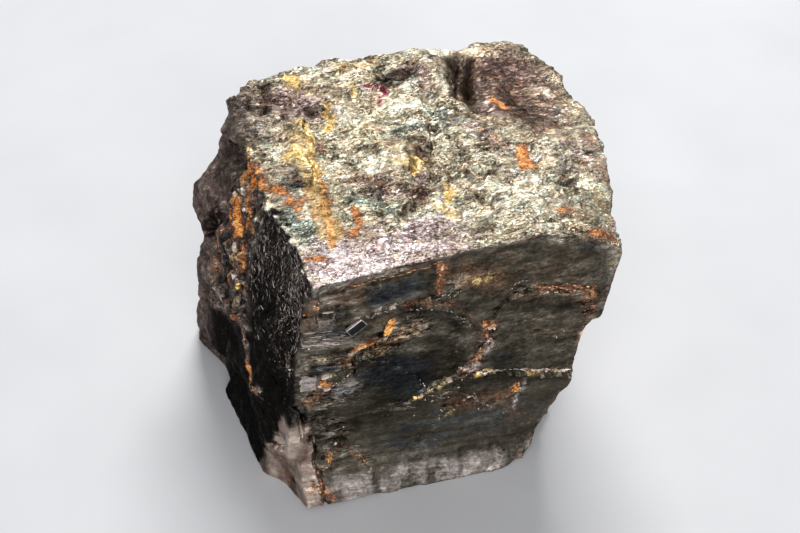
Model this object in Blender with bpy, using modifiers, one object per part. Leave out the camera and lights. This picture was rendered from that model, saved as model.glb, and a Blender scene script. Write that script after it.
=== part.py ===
"""A fist-sized block of massive metallic ore, kept as a meteorite: one broken, partly cleaved stone.

Metres, +Z up. The flat cleavage face looks along -Y, the longest side runs along X, and the origin
is the middle of the flat underside that the stone rests on.
"""

import bmesh
import bpy
from mathutils import Vector, noise
from mathutils.geometry import intersect_point_line

MM = 0.001

# Driving dimensions, in millimetres in the quarry frame: the stone is centred on its box at the end.
FRONT = -35.4  # Y of the flat cleavage face
BACK = 38.5  # Y of the broken back
TOP = 70.0  # height of the top's middle
BASE_TOE = 2.8  # how far the front's foot stands forward of the cleavage face
TOE_HEIGHT = 9.5
HIGH_SHELF = 41.0  # undersides of the two steps by which the right side hangs over
LOW_SHELF = 20.6
SUNK = -6.0  # blocks reach this far below the ground before the underside is cut flat

# Mesh sizes
ROUGH_CELL = 0.85 * MM
FINISHED_TRIANGLES = 10700
EDGE_SOFTENING = 2  # rounds of smoothing before the breaks are roughened

# Roughness of each kind of break: height in millimetres, then the distance between its lumps
SWELL = (0.9, 21.0)
CRAGS = (1.1, 7.5)
NIBBLES = (0.5, 3.2)
WORN = 0.35  # millimetres that the rough breaks have lost
NOISE_SEED = 11
NOISE_PLACE = Vector((3.1, 7.7, 1.9))

STONE_COLOUR = (0.075, 0.062, 0.048, 1.0)
STONE_ROUGHNESS = 0.42
STONE_METALLIC = 0.85


def clear_scene():
    for thing in list(bpy.data.objects):
        bpy.data.objects.remove(thing, do_unlink=True)


def ore_material():
    """Dull bronze-black metal, for the whole stone."""
    material = bpy.data.materials.new("ore")
    material.use_nodes = True
    shader = material.node_tree.nodes["Principled BSDF"]
    shader.inputs["Base Color"].default_value = STONE_COLOUR
    shader.inputs["Roughness"].default_value = STONE_ROUGHNESS
    shader.inputs["Metallic"].default_value = STONE_METALLIC
    return material


def cleaved_block(stone, faces):
    """Add to the stone what is left of a cube once each plane has split away the part beyond it.

    Each face is a point on the plane, in millimetres, and the direction that it looks in.
    """
    cube_side = 400 * MM
    block = bmesh.new()
    bmesh.ops.create_cube(block, size=cube_side)
    for point, outward in faces:
        everything = block.verts[:] + block.edges[:] + block.faces[:]
        split = bmesh.ops.bisect_plane(
            block,
            geom=everything,
            plane_co=Vector(point) * MM,
            plane_no=Vector(outward).normalized(),
            clear_outer=True,
        )
        rim = [item for item in split["geom_cut"] if isinstance(item, bmesh.types.BMEdge)]
        bmesh.ops.edgeloop_fill(block, edges=rim)
    bmesh.ops.recalc_face_normals(block, faces=block.faces[:])
    add_to(stone, block)


def rounded_lobe(stone, centre, half_sides):
    """Add an egg-shaped lump: the weathered bulges of the left back corner."""
    lobe = bmesh.new()
    bmesh.ops.create_icosphere(lobe, subdivisions=3, radius=1.0)
    bmesh.ops.scale(lobe, vec=Vector(half_sides) * MM, verts=lobe.verts[:])
    bmesh.ops.translate(lobe, vec=Vector(centre) * MM, verts=lobe.verts[:])
    add_to(stone, lobe)


def add_to(stone, piece):
    holder = bpy.data.meshes.new("holder")
    piece.to_mesh(holder)
    piece.free()
    stone.from_mesh(holder)
    bpy.data.meshes.remove(holder)


def upper_block(stone):
    """The widest storey: the glittering top, and the front down to the high shelf."""
    cleaved_block(stone, [
        ((0, FRONT, 50), (0, -1, 0)),
        ((8, -30, TOP + 0.6), (-0.05, -0.16, 1)),
        ((8, -36.0, TOP - 0.6), (-0.07, -0.75, 1)),
        ((10, 5, TOP + 1.0), (-0.055, 0.0, 1)),
        ((26, 0, TOP + 0.9), (0.12, 0.03, 1)),
        ((24, FRONT, TOP - 0.2), (0.25, -0.10, 0.96)),
        ((34, FRONT, TOP - 2.8), (0.60, -0.30, 0.75)),
        ((0, BACK - 1.5, TOP + 0.6), (0.08, 0.75, 1)),
        ((-29.6, -34, 66), (-1, -0.16, 0.14)),
        ((-33.2, 8, 66), (-1, -0.02, 0.25)),
        ((43.3, -31, 62), (1, -0.18, -0.22)),
        ((47.8, 2, 62), (1, 0.06, -0.10)),
        ((45.8, 28.6, 64), (0.80, 0.60, 0.0)),
        ((0, BACK, 60), (0.03, 1, 0.0)),
        ((-29.0, 36.6, 66), (-0.62, 0.78, 0.0)),
        ((36, FRONT, HIGH_SHELF), (0.05, 0.12, -1)),
    ])


def middle_block(stone):
    """The storey between the two shelves, set in a little on the right."""
    cleaved_block(stone, [
        ((0, FRONT, 30), (0, -1, 0)),
        ((0, 0, HIGH_SHELF + 6), (0, 0, 1)),
        ((-34.2, -34, 40), (-1, -0.16, 0.10)),
        ((33.6, FRONT, 38), (1, -0.24, -0.10)),
        ((43.0, 8, 30), (1, 0.08, -0.08)),
        ((38, 33, 30), (0.7, 0.7, 0)),
        ((0, BACK - 1, 30), (0.04, 1, 0.04)),
        ((-33, 33, 30), (-0.7, 0.7, 0.0)),
        ((30, FRONT, LOW_SHELF), (0.08, -0.10, -1)),
    ])


def lower_block(stone):
    """The foot of the stone, with its front right corner broken off and a toe along the front."""
    cleaved_block(stone, [
        ((0, FRONT, 15), (0, -1, 0)),
        ((0, 0, LOW_SHELF + 6), (0, 0, 1)),
        ((-32.6, -35, 20), (-1, -0.45, 0.05)),
        ((-38.5, -10, 10), (-1, -0.05, 0.12)),
        ((29.3, FRONT, LOW_SHELF), (1, -0.95, -0.55)),
        ((33.5, -16, 24), (1, -0.16, -0.06)),
        ((37.5, 10, 10), (1, 0.03, -0.12)),
        ((34, 31, 10), (0.7, 0.7, -0.1)),
        ((0, BACK - 3, 10), (0.0, 1, -0.10)),
        ((-36, 31, 10), (-0.7, 0.7, 0.0)),
        ((0, 0, SUNK), (0, 0, -1)),
    ])
    toe_slope = BASE_TOE / TOE_HEIGHT
    cleaved_block(stone, [
        ((0, FRONT - BASE_TOE, 0), (-0.03, -1, toe_slope)),
        ((-26.8, -36, 0), (-1, -0.3, 0)),
        ((19.0, -36, 0), (1, -0.95, -0.55)),
        ((0, -20, 0), (0, 1, 0)),
        ((0, 0, TOE_HEIGHT), (0.09, 0, 1)),
        ((0, 0, SUNK), (0, 0, -1)),
    ])


def left_foot(stone):
    """The low blocks on the left: a squat brown one at the front corner and a dark one behind it."""
    cleaved_block(stone, [
        ((-32.8, -29.2, 0), (-0.55, -0.83, 0.05)),
        ((-38.2, -26, 0), (-1, -0.3, 0.02)),
        ((-36.5, -33, 24.5), (0.35, -0.1, 1)),
        ((-28.3, -33, 0), (1, 0.1, 0)),
        ((0, -16, 0), (0, 1, 0)),
        ((0, 0, SUNK), (0, 0, -1)),
    ])
    cleaved_block(stone, [
        ((-41.2, -13, 0), (-1, -0.10, 0.20)),
        ((-38.2, -25.8, 0), (-0.85, -0.75, 0.05)),
        ((-38.0, -13.4, 14.2), (-0.45, 0.35, 1)),
        ((0, -2, 0), (0.2, 1, 0)),
        ((-32.5, 0, 0), (1, 0, 0)),
        ((0, 0, SUNK), (0, 0, -1)),
    ])


def left_flank(stone):
    """The craggy strip between the front's edge and the lobes, over a flat face that leans out."""
    cleaved_block(stone, [
        ((-39.1, 6, 8), (-0.92, -0.33, -0.12)),
        ((-43.0, 14, 10), (-1, 0.1, 0.12)),
        ((-42, 6, 24), (-0.35, -0.25, 1)),
        ((0, -9, 0), (-0.3, -1, 0)),
        ((0, 24, 0), (0, 1, 0)),
        ((-20, 0, 0), (1, 0, 0)),
        ((0, 0, SUNK), (0, 0, -1)),
    ])
    cleaved_block(stone, [
        ((-37.2, 5, 40), (-1, -0.35, 0.16)),
        ((-39.5, 12, 40), (-1, 0.2, 0.12)),
        ((-36, 5, 59), (-0.8, 0.1, 1)),
        ((0, -7, 0), (-0.2, -1, 0.05)),
        ((0, 22, 0), (0, 1, 0)),
        ((-20, 0, 0), (1, 0, 0)),
        ((0, 0, 18), (0, 0, -1)),
    ])


def left_lobes(stone):
    """Two weathered bulges, one over the other, with a waist between them."""
    rounded_lobe(stone, (-33.0, 26.0, 42.5), (10.6, 11.5, 12.5))
    rounded_lobe(stone, (-34.2, 24.0, 7.0), (10.8, 11.5, 20.0))
    rounded_lobe(stone, (-28.6, 28.6, 62.0), (6.4, 8.6, 9.0))


def front_plates(stone):
    """Thin cleavage sheets that are left standing a little proud of the front."""
    sheets = [
        (0.9, [((-32.0, 0, 45), (-1, 0, 0.1)), ((0, 0, 37.5), (-0.5, 0, -1)), ((-20.5, 0, 42), (1, 0, -0.3)),
               ((0, 0, 55.0), (0.1, 0, 1))]),
        (1.0, [((9.0, 0, 40), (-1, 0, 0.35)), ((0, 0, 32.5), (0.15, 0, -1)), ((36.5, 0, 48), (1, 0, -0.25)),
               ((0, 0, 52.5), (0.12, 0, 1))]),
    ]
    for proud, edges in sheets:
        flat = [((0, FRONT - proud, 40), (0, -1, 0)), ((0, FRONT + 5, 40), (0, 1, 0))]
        cleaved_block(stone, flat + edges)


def remeshed(mesh, cell):
    """A new mesh of even small faces round the outside of the given one."""
    carrier = bpy.data.objects.new("carrier", mesh)
    bpy.context.scene.collection.objects.link(carrier)
    skin = carrier.modifiers.new("skin", "REMESH")
    skin.mode = "VOXEL"
    skin.voxel_size = cell
    skin.adaptivity = 0.0
    bpy.context.view_layer.update()
    graph = bpy.context.evaluated_depsgraph_get()
    result = bpy.data.meshes.new_from_object(carrier.evaluated_get(graph))
    bpy.data.objects.remove(carrier, do_unlink=True)
    bpy.data.meshes.remove(mesh)
    return result


# Cracks in the front, each with its depth, its half width and its course as X and height, in mm
FRONT_CRACKS = [
    (1.3, 1.1, [(-9.5, 58.2), (-4.8, 57.9), (-1.0, 59.2)]),
    (1.6, 1.2, [(-14.6, 48.0), (-19.4, 46.8), (-20.2, 42.5), (-24.4, 37.1), (-31.0, 35.2)]),
    (1.8, 1.3, [(13.2, 47.8), (10.4, 40.6), (7.2, 36.6), (4.2, 33.8)]),
    (1.2, 1.0, [(-5.6, 29.2), (3.0, 31.6), (12.0, 32.2), (33.0, 26.4)]),
    (1.7, 1.2, [(22.5, 55.4), (34.8, 52.6), (35.6, 42.0)]),
    (1.9, 1.3, [(-32.0, 33.5), (-31.0, 22.0), (-28.6, 19.5)]),
    (2.0, 1.2, [(-28.6, 20.0), (-28.8, 10.0), (-26.8, 0.0)]),
]

# Hollows in the top, each with its depth, its half width and its course as X and Y, in mm
TOP_HOLLOWS = [
    (4.2, 3.4, [(25.6, 31.0), (21.4, 23.0), (20.2, 14.5)]),
    (1.3, 3.2, [(12.5, 16.0), (8.5, 3.0), (5.0, -9.0)]),
    (0.6, 2.6, [(-20.0, 10.0), (-19.0, -8.0), (-16.0, -22.0)]),
    (1.6, 2.4, [(-28.0, 10.0), (-31.5, -8.0)]),
    (1.5, 3.0, [(4.0, 32.0), (9.0, 27.0)]),
    (1.4, 2.2, [(24.0, -3.0), (30.0, -6.0)]),
    (1.1, 2.6, [(33.0, 12.0), (40.0, 2.0)]),
]

# Swells on the top, each with its height, its half width and its course as X and Y, in mm
TOP_SWELLS = [
    (1.3, 5.0, [(14.0, 34.0), (18.0, 12.0), (16.0, -20.0)]),
    (0.6, 4.0, [(36.0, 34.0), (40.0, 32.0)]),
    (1.0, 4.5, [(-8.0, 24.0), (-2.0, 0.0), (-6.0, -20.0)]),
    (1.0, 4.0, [(34.0, -8.0), (30.0, -24.0)]),
]

# Holes and dents, each with its middle, its reach and its depth, in mm
PITS = [
    ((-34.8, 17.5, 61.0), 6.2, 5.2),
    ((-23.6, 35.0, 69.0), 3.6, 2.2),
    ((-29.0, 29.0, 69.0), 3.2, 1.8),
    ((-34.5, -1.0, 61.0), 3.2, 2.2),
    ((-37.0, 3.0, 52.5), 4.2, 3.2),
    ((-39.0, 9.0, 38.0), 4.6, 3.6),
    ((-41.0, 14.0, 49.0), 3.6, 2.6),
    ((-39.5, 12.0, 30.0), 3.8, 2.6),
    ((-30.4, -35.0, 20.6), 3.0, 2.6),
    ((12.0, 40.0, 44.0), 8.0, 3.0),
    ((-12.0, 40.0, 24.0), 9.0, 3.2),
    ((26.0, 38.0, 18.0), 7.0, 2.4),
    ((45.5, 14.0, 44.0), 7.0, 2.8),
    ((42.0, -6.0, 26.0), 8.0, 3.0),
    ((44.0, 22.0, 22.0), 6.0, 2.2),
]


def closeness(place, course, half_width):
    """1 on the broken line, falling smoothly to 0 at half_width from it."""
    nearest = half_width
    for start, end in zip(course, course[1:]):
        foot, share = intersect_point_line(place, start, end)
        if share < 0:
            foot = start
        elif share > 1:
            foot = end
        nearest = min(nearest, (place - foot).length)
    rise = 1 - nearest / half_width
    return rise * rise * (3 - 2 * rise)


def lumps(place, roughness):
    """Uneven heights between about -1 and 1 times the roughness's own height."""
    height, spacing = roughness
    return height * noise.fractal(place / spacing + NOISE_PLACE, 1.0, 2.1, 3, noise_basis="PERLIN_NEW")


def blocky(place, roughness):
    """Heights that change by steps from one broken cell to the next."""
    height, spacing = roughness
    warped = place / spacing + 0.35 * noise.noise_vector(place * 1.7 / spacing + NOISE_PLACE)
    return height * (noise.cell(warped + NOISE_PLACE) - 0.5)


def ramp(value, start, end):
    """0 at start and 1 at end, straight in between."""
    return min(1.0, max(0.0, (value - start) / (end - start)))


def relief(place, normal):
    """How far the surface stands out at a place in millimetres, along its normal."""
    front = ramp(place.y, FRONT + 4.0, FRONT + 1.5) * ramp(place.z, 0, 6)
    top = ramp(normal.z, 0.35, 0.75) * ramp(place.z, TOP - 14, TOP - 8) * (1 - front)
    lobes = ramp(place.x, -35, -40) * ramp(place.y, 4, 12)
    foot = ramp(place.z, 1, 5)
    broken = (1 - front) * (1 - 0.6 * top) * (1 - 0.8 * lobes) * (0.35 + 0.65 * foot)
    out = lumps(place, SWELL) * (1 - 0.8 * front) * (1 - 0.5 * lobes)
    out += (lumps(place, CRAGS) + 0.8 * blocky(place, CRAGS) - WORN) * broken
    out += lumps(place, NIBBLES) * (0.12 + 0.88 * broken)
    if front > 0:
        on_front = Vector((place.x, place.z))
        for depth, half_width, course in FRONT_CRACKS:
            out -= front * depth * closeness(on_front, [Vector(point) for point in course], half_width)
    if top > 0:
        on_top = Vector((place.x, place.y))
        for depth, half_width, course in TOP_HOLLOWS:
            out -= top * depth * closeness(on_top, [Vector(point) for point in course], half_width)
        for height, half_width, course in TOP_SWELLS:
            out += top * height * closeness(on_top, [Vector(point) for point in course], half_width)
    for middle, reach, depth in PITS:
        away = (place - Vector(middle)).length / reach
        if away < 1:
            out -= depth * (1 - away * away) ** 2
    return out


def weather(mesh):
    """Move every vertex out or in by the relief at its place."""
    shape = bmesh.new()
    shape.from_mesh(mesh)
    for _ in range(EDGE_SOFTENING):
        bmesh.ops.smooth_vert(
            shape, verts=shape.verts[:], factor=0.5, use_axis_x=True, use_axis_y=True, use_axis_z=True
        )
    shape.normal_update()
    moves = [vertex.normal * relief(vertex.co / MM, vertex.normal) * MM for vertex in shape.verts]
    for vertex, move in zip(shape.verts, moves):
        vertex.co += move
    shape.to_mesh(mesh)
    shape.free()


def simplified(mesh, triangles):
    """The same surface in about the given number of triangles."""
    carrier = bpy.data.objects.new("carrier", mesh)
    bpy.context.scene.collection.objects.link(carrier)
    thin = carrier.modifiers.new("thin", "DECIMATE")
    thin.decimate_type = "COLLAPSE"
    thin.ratio = triangles / (2 * len(mesh.polygons))
    bpy.context.view_layer.update()
    graph = bpy.context.evaluated_depsgraph_get()
    result = bpy.data.meshes.new_from_object(carrier.evaluated_get(graph))
    bpy.data.objects.remove(carrier, do_unlink=True)
    bpy.data.meshes.remove(mesh)
    return result


def stand_flat(mesh):
    """Cut the underside flat, and put the origin in the middle of the box, at the ground."""
    shape = bmesh.new()
    shape.from_mesh(mesh)
    everything = shape.verts[:] + shape.edges[:] + shape.faces[:]
    split = bmesh.ops.bisect_plane(
        shape, geom=everything, plane_co=(0, 0, 0), plane_no=(0, 0, -1), clear_outer=True
    )
    rim = [item for item in split["geom_cut"] if isinstance(item, bmesh.types.BMEdge)]
    bmesh.ops.edgeloop_fill(shape, edges=rim)
    bmesh.ops.triangulate(shape, faces=shape.faces[:])
    bmesh.ops.recalc_face_normals(shape, faces=shape.faces[:])
    across = [vertex.co.x for vertex in shape.verts]
    along = [vertex.co.y for vertex in shape.verts]
    middle = Vector(((min(across) + max(across)) / 2, (min(along) + max(along)) / 2, 0))
    bmesh.ops.translate(shape, vec=-middle, verts=shape.verts[:])
    shape.to_mesh(mesh)
    shape.free()


def make_stone():
    blocks = bmesh.new()
    upper_block(blocks)
    middle_block(blocks)
    lower_block(blocks)
    left_foot(blocks)
    left_flank(blocks)
    left_lobes(blocks)
    front_plates(blocks)
    mesh = bpy.data.meshes.new("blocks")
    blocks.to_mesh(mesh)
    blocks.free()
    mesh = remeshed(mesh, ROUGH_CELL)
    weather(mesh)
    mesh = remeshed(mesh, ROUGH_CELL)
    mesh = simplified(mesh, FINISHED_TRIANGLES)
    stand_flat(mesh)
    mesh.name = "meteorite"
    mesh.materials.clear()
    mesh.materials.append(ore_material())
    return bpy.data.objects.new("meteorite", mesh)


clear_scene()
noise.seed_set(NOISE_SEED)
specimen = bpy.data.collections.new("meteorite specimen")
bpy.context.scene.collection.children.link(specimen)
specimen.objects.link(make_stone())
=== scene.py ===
import itertools
import math

import bmesh
import bpy
import numpy as np
from mathutils import Matrix, Vector


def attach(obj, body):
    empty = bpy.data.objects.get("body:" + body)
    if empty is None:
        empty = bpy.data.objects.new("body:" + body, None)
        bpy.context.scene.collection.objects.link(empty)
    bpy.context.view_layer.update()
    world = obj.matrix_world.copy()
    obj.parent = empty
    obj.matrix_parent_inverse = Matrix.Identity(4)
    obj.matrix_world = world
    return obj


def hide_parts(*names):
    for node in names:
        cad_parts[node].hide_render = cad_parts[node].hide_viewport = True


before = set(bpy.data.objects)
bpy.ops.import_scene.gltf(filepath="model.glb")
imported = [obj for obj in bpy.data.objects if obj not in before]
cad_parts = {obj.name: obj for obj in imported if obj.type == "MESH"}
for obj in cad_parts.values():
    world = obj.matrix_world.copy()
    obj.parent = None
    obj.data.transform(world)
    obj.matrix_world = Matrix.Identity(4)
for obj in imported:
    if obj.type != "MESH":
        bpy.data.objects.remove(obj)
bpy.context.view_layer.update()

# ------------------------------
# The stone: one block of massive metallic ore, cleaved flat in front and broken everywhere else.
# Its rough form is the solid's own. The breaks, ledges, cracks and crystal steps too fine for the
# solid are worked into a finely meshed copy of it.
# ------------------------------
MM = 0.001
FINE_CELL = 0.40 * MM
STONE_TRIANGLES = 192_000

FRONT_Y = -36.0  # the cleavage face, in millimetres
TOE = 2.8  # how far the foot of the front stands forward


def new_object(name, mesh):
    made = bpy.data.objects.new(name, mesh)
    bpy.context.scene.collection.objects.link(made)
    return made


def settled(thing):
    """Give an object the mesh that its modifiers make of it, and take the modifiers off."""
    bpy.context.view_layer.update()
    graph = bpy.context.evaluated_depsgraph_get()
    finished = bpy.data.meshes.new_from_object(thing.evaluated_get(graph))
    rough = thing.data
    thing.modifiers.clear()
    thing.data = finished
    bpy.data.meshes.remove(rough)
    finished.name = thing.name


def corners_of(mesh):
    flat = np.empty(len(mesh.vertices) * 3)
    mesh.vertices.foreach_get("co", flat)
    return flat.reshape(-1, 3) / MM


def facing_of(mesh):
    flat = np.empty(len(mesh.vertices) * 3)
    mesh.vertices.foreach_get("normal", flat)
    return flat.reshape(-1, 3)


def put_corners(mesh, places):
    mesh.vertices.foreach_set("co", (places * MM).ravel())
    mesh.update()


def ramp(value, start, end):
    """0 at start and 1 at end, with soft ends."""
    share = np.clip((value - start) / (end - start), 0, 1)
    return share * share * (3 - 2 * share)


def chance(cells, seed):
    """An even random number from 0 to 1 for each whole-numbered cell."""
    key = cells[:, 0] * 73856093 ^ cells[:, 1] * 19349663 ^ cells[:, 2] * 83492791 ^ seed * 374761393
    key = (key ^ (key >> 13)) * 1274126177
    key = (key ^ (key >> 16)) & 0xFFFFFF
    return key / 0xFFFFFF


def three_chances(cells, seed):
    return np.stack([chance(cells, seed + step) for step in range(3)], axis=1)


def lumps(places, size, seed, octaves=1):
    """Smooth random heights, about -1 to 1, with lumps of the given size or of a size each way."""
    total, weight = 0, 1.0
    points = places / np.asarray(size, float) + 0.37 * seed
    for octave in range(octaves):
        cell = np.floor(points).astype(np.int64)
        within = points - cell
        within = within * within * within * (within * (within * 6 - 15) + 10)
        for corner in itertools.product((0, 1), repeat=3):
            share = np.prod(np.where(corner, within, 1 - within), axis=1)
            total = total + weight * share * (2 * chance(cell + corner, seed + octave) - 1)
        points = points * 2.07 + 5.3
        weight *= 0.5
    return total * 1.3


def wander(places, size, seeds, octaves):
    """Lumps of their own along each axis, one for each seed."""
    return np.stack([lumps(places, size, seed, octaves) for seed in seeds], axis=1)


def grains(places, size, seed, tilt=1.0):
    """Flat facets, each tilted its own way, as heights in sizes."""
    points = places / np.asarray(size, float) + 0.61 * seed
    cell = np.floor(points).astype(np.int64)
    nearest = np.full(len(points), 9.0)
    height = np.zeros(len(points))
    for offset in itertools.product((-1, 0, 1), repeat=3):
        there = cell + offset
        away = points - (there + three_chances(there, seed + 1))
        distance = (away * away).sum(axis=1)
        closer = distance < nearest
        lean = three_chances(there, seed + 4) - 0.5
        facet = tilt * (away * lean).sum(axis=1) + 0.35 * (chance(there, seed + 7) - 0.5)
        height = np.where(closer, facet, height)
        nearest = np.where(closer, distance, nearest)
    return height


def legs(places, course):
    """For each leg of a course: its run, the way from it to each place, and that way's length."""
    for start, end in zip(course, course[1:]):
        start, end = np.array(start, float), np.array(end, float)
        run = end - start
        share = np.clip(((places - start) @ run) / (run @ run), 0, 1)
        away = places - start - share[:, None] * run
        yield run, away, np.sqrt((away * away).sum(axis=1))


def along(places, course):
    """Distance to a course in a plane, and how far to the left of its direction."""
    nearest = np.full(len(places), 1e9)
    side = np.zeros(len(places))
    for run, away, distance in legs(places, course):
        left = (run[0] * away[:, 1] - run[1] * away[:, 0]) / math.hypot(*run)
        closer = distance < nearest
        nearest = np.where(closer, distance, nearest)
        side = np.where(closer, left, side)
    return nearest, side


def strokes(places, courses):
    """The strength of each course in its middle, falling to 0 at its half width."""
    mask = np.zeros(len(places))
    for half_width, strength, course in courses:
        distance = np.min([leg[2] for leg in legs(places, course)], axis=0)
        mask = np.maximum(mask, strength * (1 - ramp(distance, 0.25 * half_width, 1.25 * half_width)))
    return mask


stone = new_object("ore_block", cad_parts["meteorite"].data.copy())
shape = bmesh.new()
shape.from_mesh(stone.data)
bmesh.ops.remove_doubles(shape, verts=shape.verts[:], dist=0.001 * MM)
shape.to_mesh(stone.data)
shape.free()

skin = stone.modifiers.new("even skin", "REMESH")
skin.mode = "VOXEL"
skin.voxel_size = FINE_CELL
skin.adaptivity = 0.0
soften = stone.modifiers.new("soft edges", "SMOOTH")
soften.factor = 0.5
soften.iterations = 8
settled(stone)

places = corners_of(stone.data)
facing = facing_of(stone.data)

# The flat front: its outline, as the X of its two sides and the height of its top, in millimetres
FRONT_LEFT = (
    (0, -28), (9, -31), (20, -31.5), (33, -33), (37, -35.2), (44, -35), (59, -33.2), (67, -31.5)
)
FRONT_RIGHT = (
    (0, 15.6), (6.5, 20), (14, 24), (20, 27.2), (20.6, 29.5), (41, 31.5), (41.6, 35.2), (65, 37)
)
FRONT_TOP = (
    (-32, 64), (-26, 65.8), (-11, 66.8), (0, 68.8), (11, 69.4), (20, 68.6), (25, 66.3), (35, 61.7)
)


def reading(value, table):
    return np.interp(value, [row[0] for row in table], [row[1] for row in table])


def front_inset(places):
    """How far inside the front's outline a place lies."""
    x, z = places[:, 0], places[:, 2]
    sides = np.minimum(x - reading(z, FRONT_LEFT), reading(z, FRONT_RIGHT) - x)
    return np.minimum(sides, np.minimum(reading(x, FRONT_TOP) - z, z))


def foot_of_front(x, z):
    """How far the foot stands forward: it dies out upwards and to the right."""
    return np.maximum(0, TOE - 0.295 * z - 0.03 * x)


forward = ramp(places[:, 1], -31.5, -33.0) * ramp(-facing[:, 1], -0.2, 0.1)
level = ramp(front_inset(places), 0.3, 1.4) * forward
level = np.maximum(level, ramp(places[:, 1], -34.2, -35.6) * ramp(places[:, 2], 0.3, 1.5))

# Sheets and steps of the front: the rise on the left of the course, how far the rise reaches, and
# the course as X and height. Every length in these tables is in millimetres.
FRONT_STEPS = (
    (0.75, 16, ((33, 51.2), (20.1, 54.2), (14.2, 54), (9, 47.5), (8.8, 40), (4, 31))),
    (0.45, 7, ((7.6, 46.1), (4.5, 49.5), (0.3, 53), (-2.7, 55.3), (-5.7, 57.1), (-10.1, 57.7))),
    (0.55, 9, (
        (-34, 34.6), (-27.2, 37), (-24.9, 38.3), (-22.4, 40.4), (-21.8, 44.1), (-20.4, 46.3), (-16.3, 47.4)
    )),
    (-0.45, 8, ((2, 31.4), (6.1, 31.6), (10.7, 31.2), (15.8, 29.5), (22.5, 27.3), (31, 24.6))),
    (-0.35, 5, ((-7.1, 28.4), (-5.3, 29.6), (-2.3, 30.4), (1.2, 31))),
    (0.4, 5, ((-2.7, 58.6), (-6.2, 57.9), (-10.1, 58.1), (-14.5, 57.5), (-19.3, 57.1))),
    (0.14, 4, ((-22, 52.9), (-28, 53.9), (-33.5, 54.4))),
    (0.22, 3, ((-17, 48.6), (-21.6, 48.9), (-27, 49.5), (-33.5, 50.2))),
    (0.35, 3.5, ((-34.5, 42), (-31.3, 41.9), (-30.6, 35.6))),
    (0.5, 3.5, ((-33.5, 56), (-29.9, 55.9), (-29.2, 63.5))),
)
# Cracks and ridges: half width, depth or height, and the course
FRONT_CRACKS = (
    (0.35, 0.8, ((-10.3, 57.6), (-6.2, 57.6), (-2.7, 58.4))),
    (0.35, 0.9, (
        (-17, 47.6), (-20.4, 46.3), (-21.8, 44.1), (-22.4, 40.4), (-24.9, 38.3), (-27.2, 37), (-32, 34.9)
    )),
    (0.7, 0.9, ((9.3, 47.6), (9.9, 44.6), (9.1, 41.1), (8.1, 37), (6.1, 34.9), (2.6, 32.3))),
    (0.9, 1.8, ((-36, 33), (-34.4, 27), (-34.2, 21.5), (-31.6, 19.6))),
    (1.3, 2.4, ((-33.6, 21), (-32, 20.2))),
    (0.5, 1.5, ((-31.8, 19), (-32, 12.9), (-30.7, 8.4), (-30.2, 1))),
    (0.3, 0.5, ((-3.3, 66.4), (-2.2, 63.1), (-2.4, 59))),
    (0.35, 0.6, ((14.2, 53.9), (20.1, 54), (26.7, 52.6), (31.7, 50.5))),
    (0.22, 0.35, ((-25.4, 18.4), (-22, 13.4), (-18.6, 8.6))),
    (0.22, 0.4, ((-22, 43.5), (-16, 42), (-11, 38.5), (-6, 33), (-5, 29))),
    (0.22, 0.35, ((-14, 26.5), (-8, 28), (-3, 26.5), (2, 27.5), (6, 24.5))),
    (0.2, 0.3, ((9.9, 44.6), (14, 46), (18, 45.2))),
    (0.2, 0.35, ((17.9, 25.1), (16.9, 20.8), (13, 15))),
)
FRONT_RIDGES = (
    (0.8, 0.45, ((-10.1, 57.5), (-5.7, 56.9), (-2.7, 55.1), (0.3, 52.8), (4.5, 49.3), (7.6, 45.9))),
    (0.5, 0.35, ((-21.6, 48.9), (-17, 48.6))),
    (0.4, 0.35, ((2, 31.2), (6.1, 31.2), (10.7, 31), (15.8, 29.3), (22.5, 27.1), (29.9, 24.6))),
    (0.4, 0.3, ((-7.1, 28.2), (-5.3, 29.4), (-2.3, 30.2), (1.2, 30.8))),
)
# Where the cleavage is torn: half width, how badly, and the course
FRONT_TEARS = (
    (4.5, 1, ((-18, 46), (-13, 49), (-8, 51))),
    (4, 0.3, ((2, 61), (9, 61))),
    (4, 0.6, ((-30, 44.5), (-24, 44.5))),
    (4.5, 0.8, ((-30, 34), (-23, 34.5))),
    (4, 0.7, ((-30, 27), (-27, 20), (-27, 14))),
    (1.6, 0.6, ((16, 55), (22, 54.5), (33, 50))),
    (2, 0.8, ((9.5, 47), (9, 41), (5, 34))),
    (3, 0.25, ((0, 26), (6, 23), (14, 22))),
    (2, 0.6, ((34, 48), (34, 43))),
    (2.2, 0.5, ((-23, 16), (-19, 10))),
    (2.4, 0.3, ((-28, 63), (-16, 64))),
)


def front_tears(across):
    """Where the cleavage face is torn into little plates rather than smooth."""
    return strokes(across, FRONT_TEARS)


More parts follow.
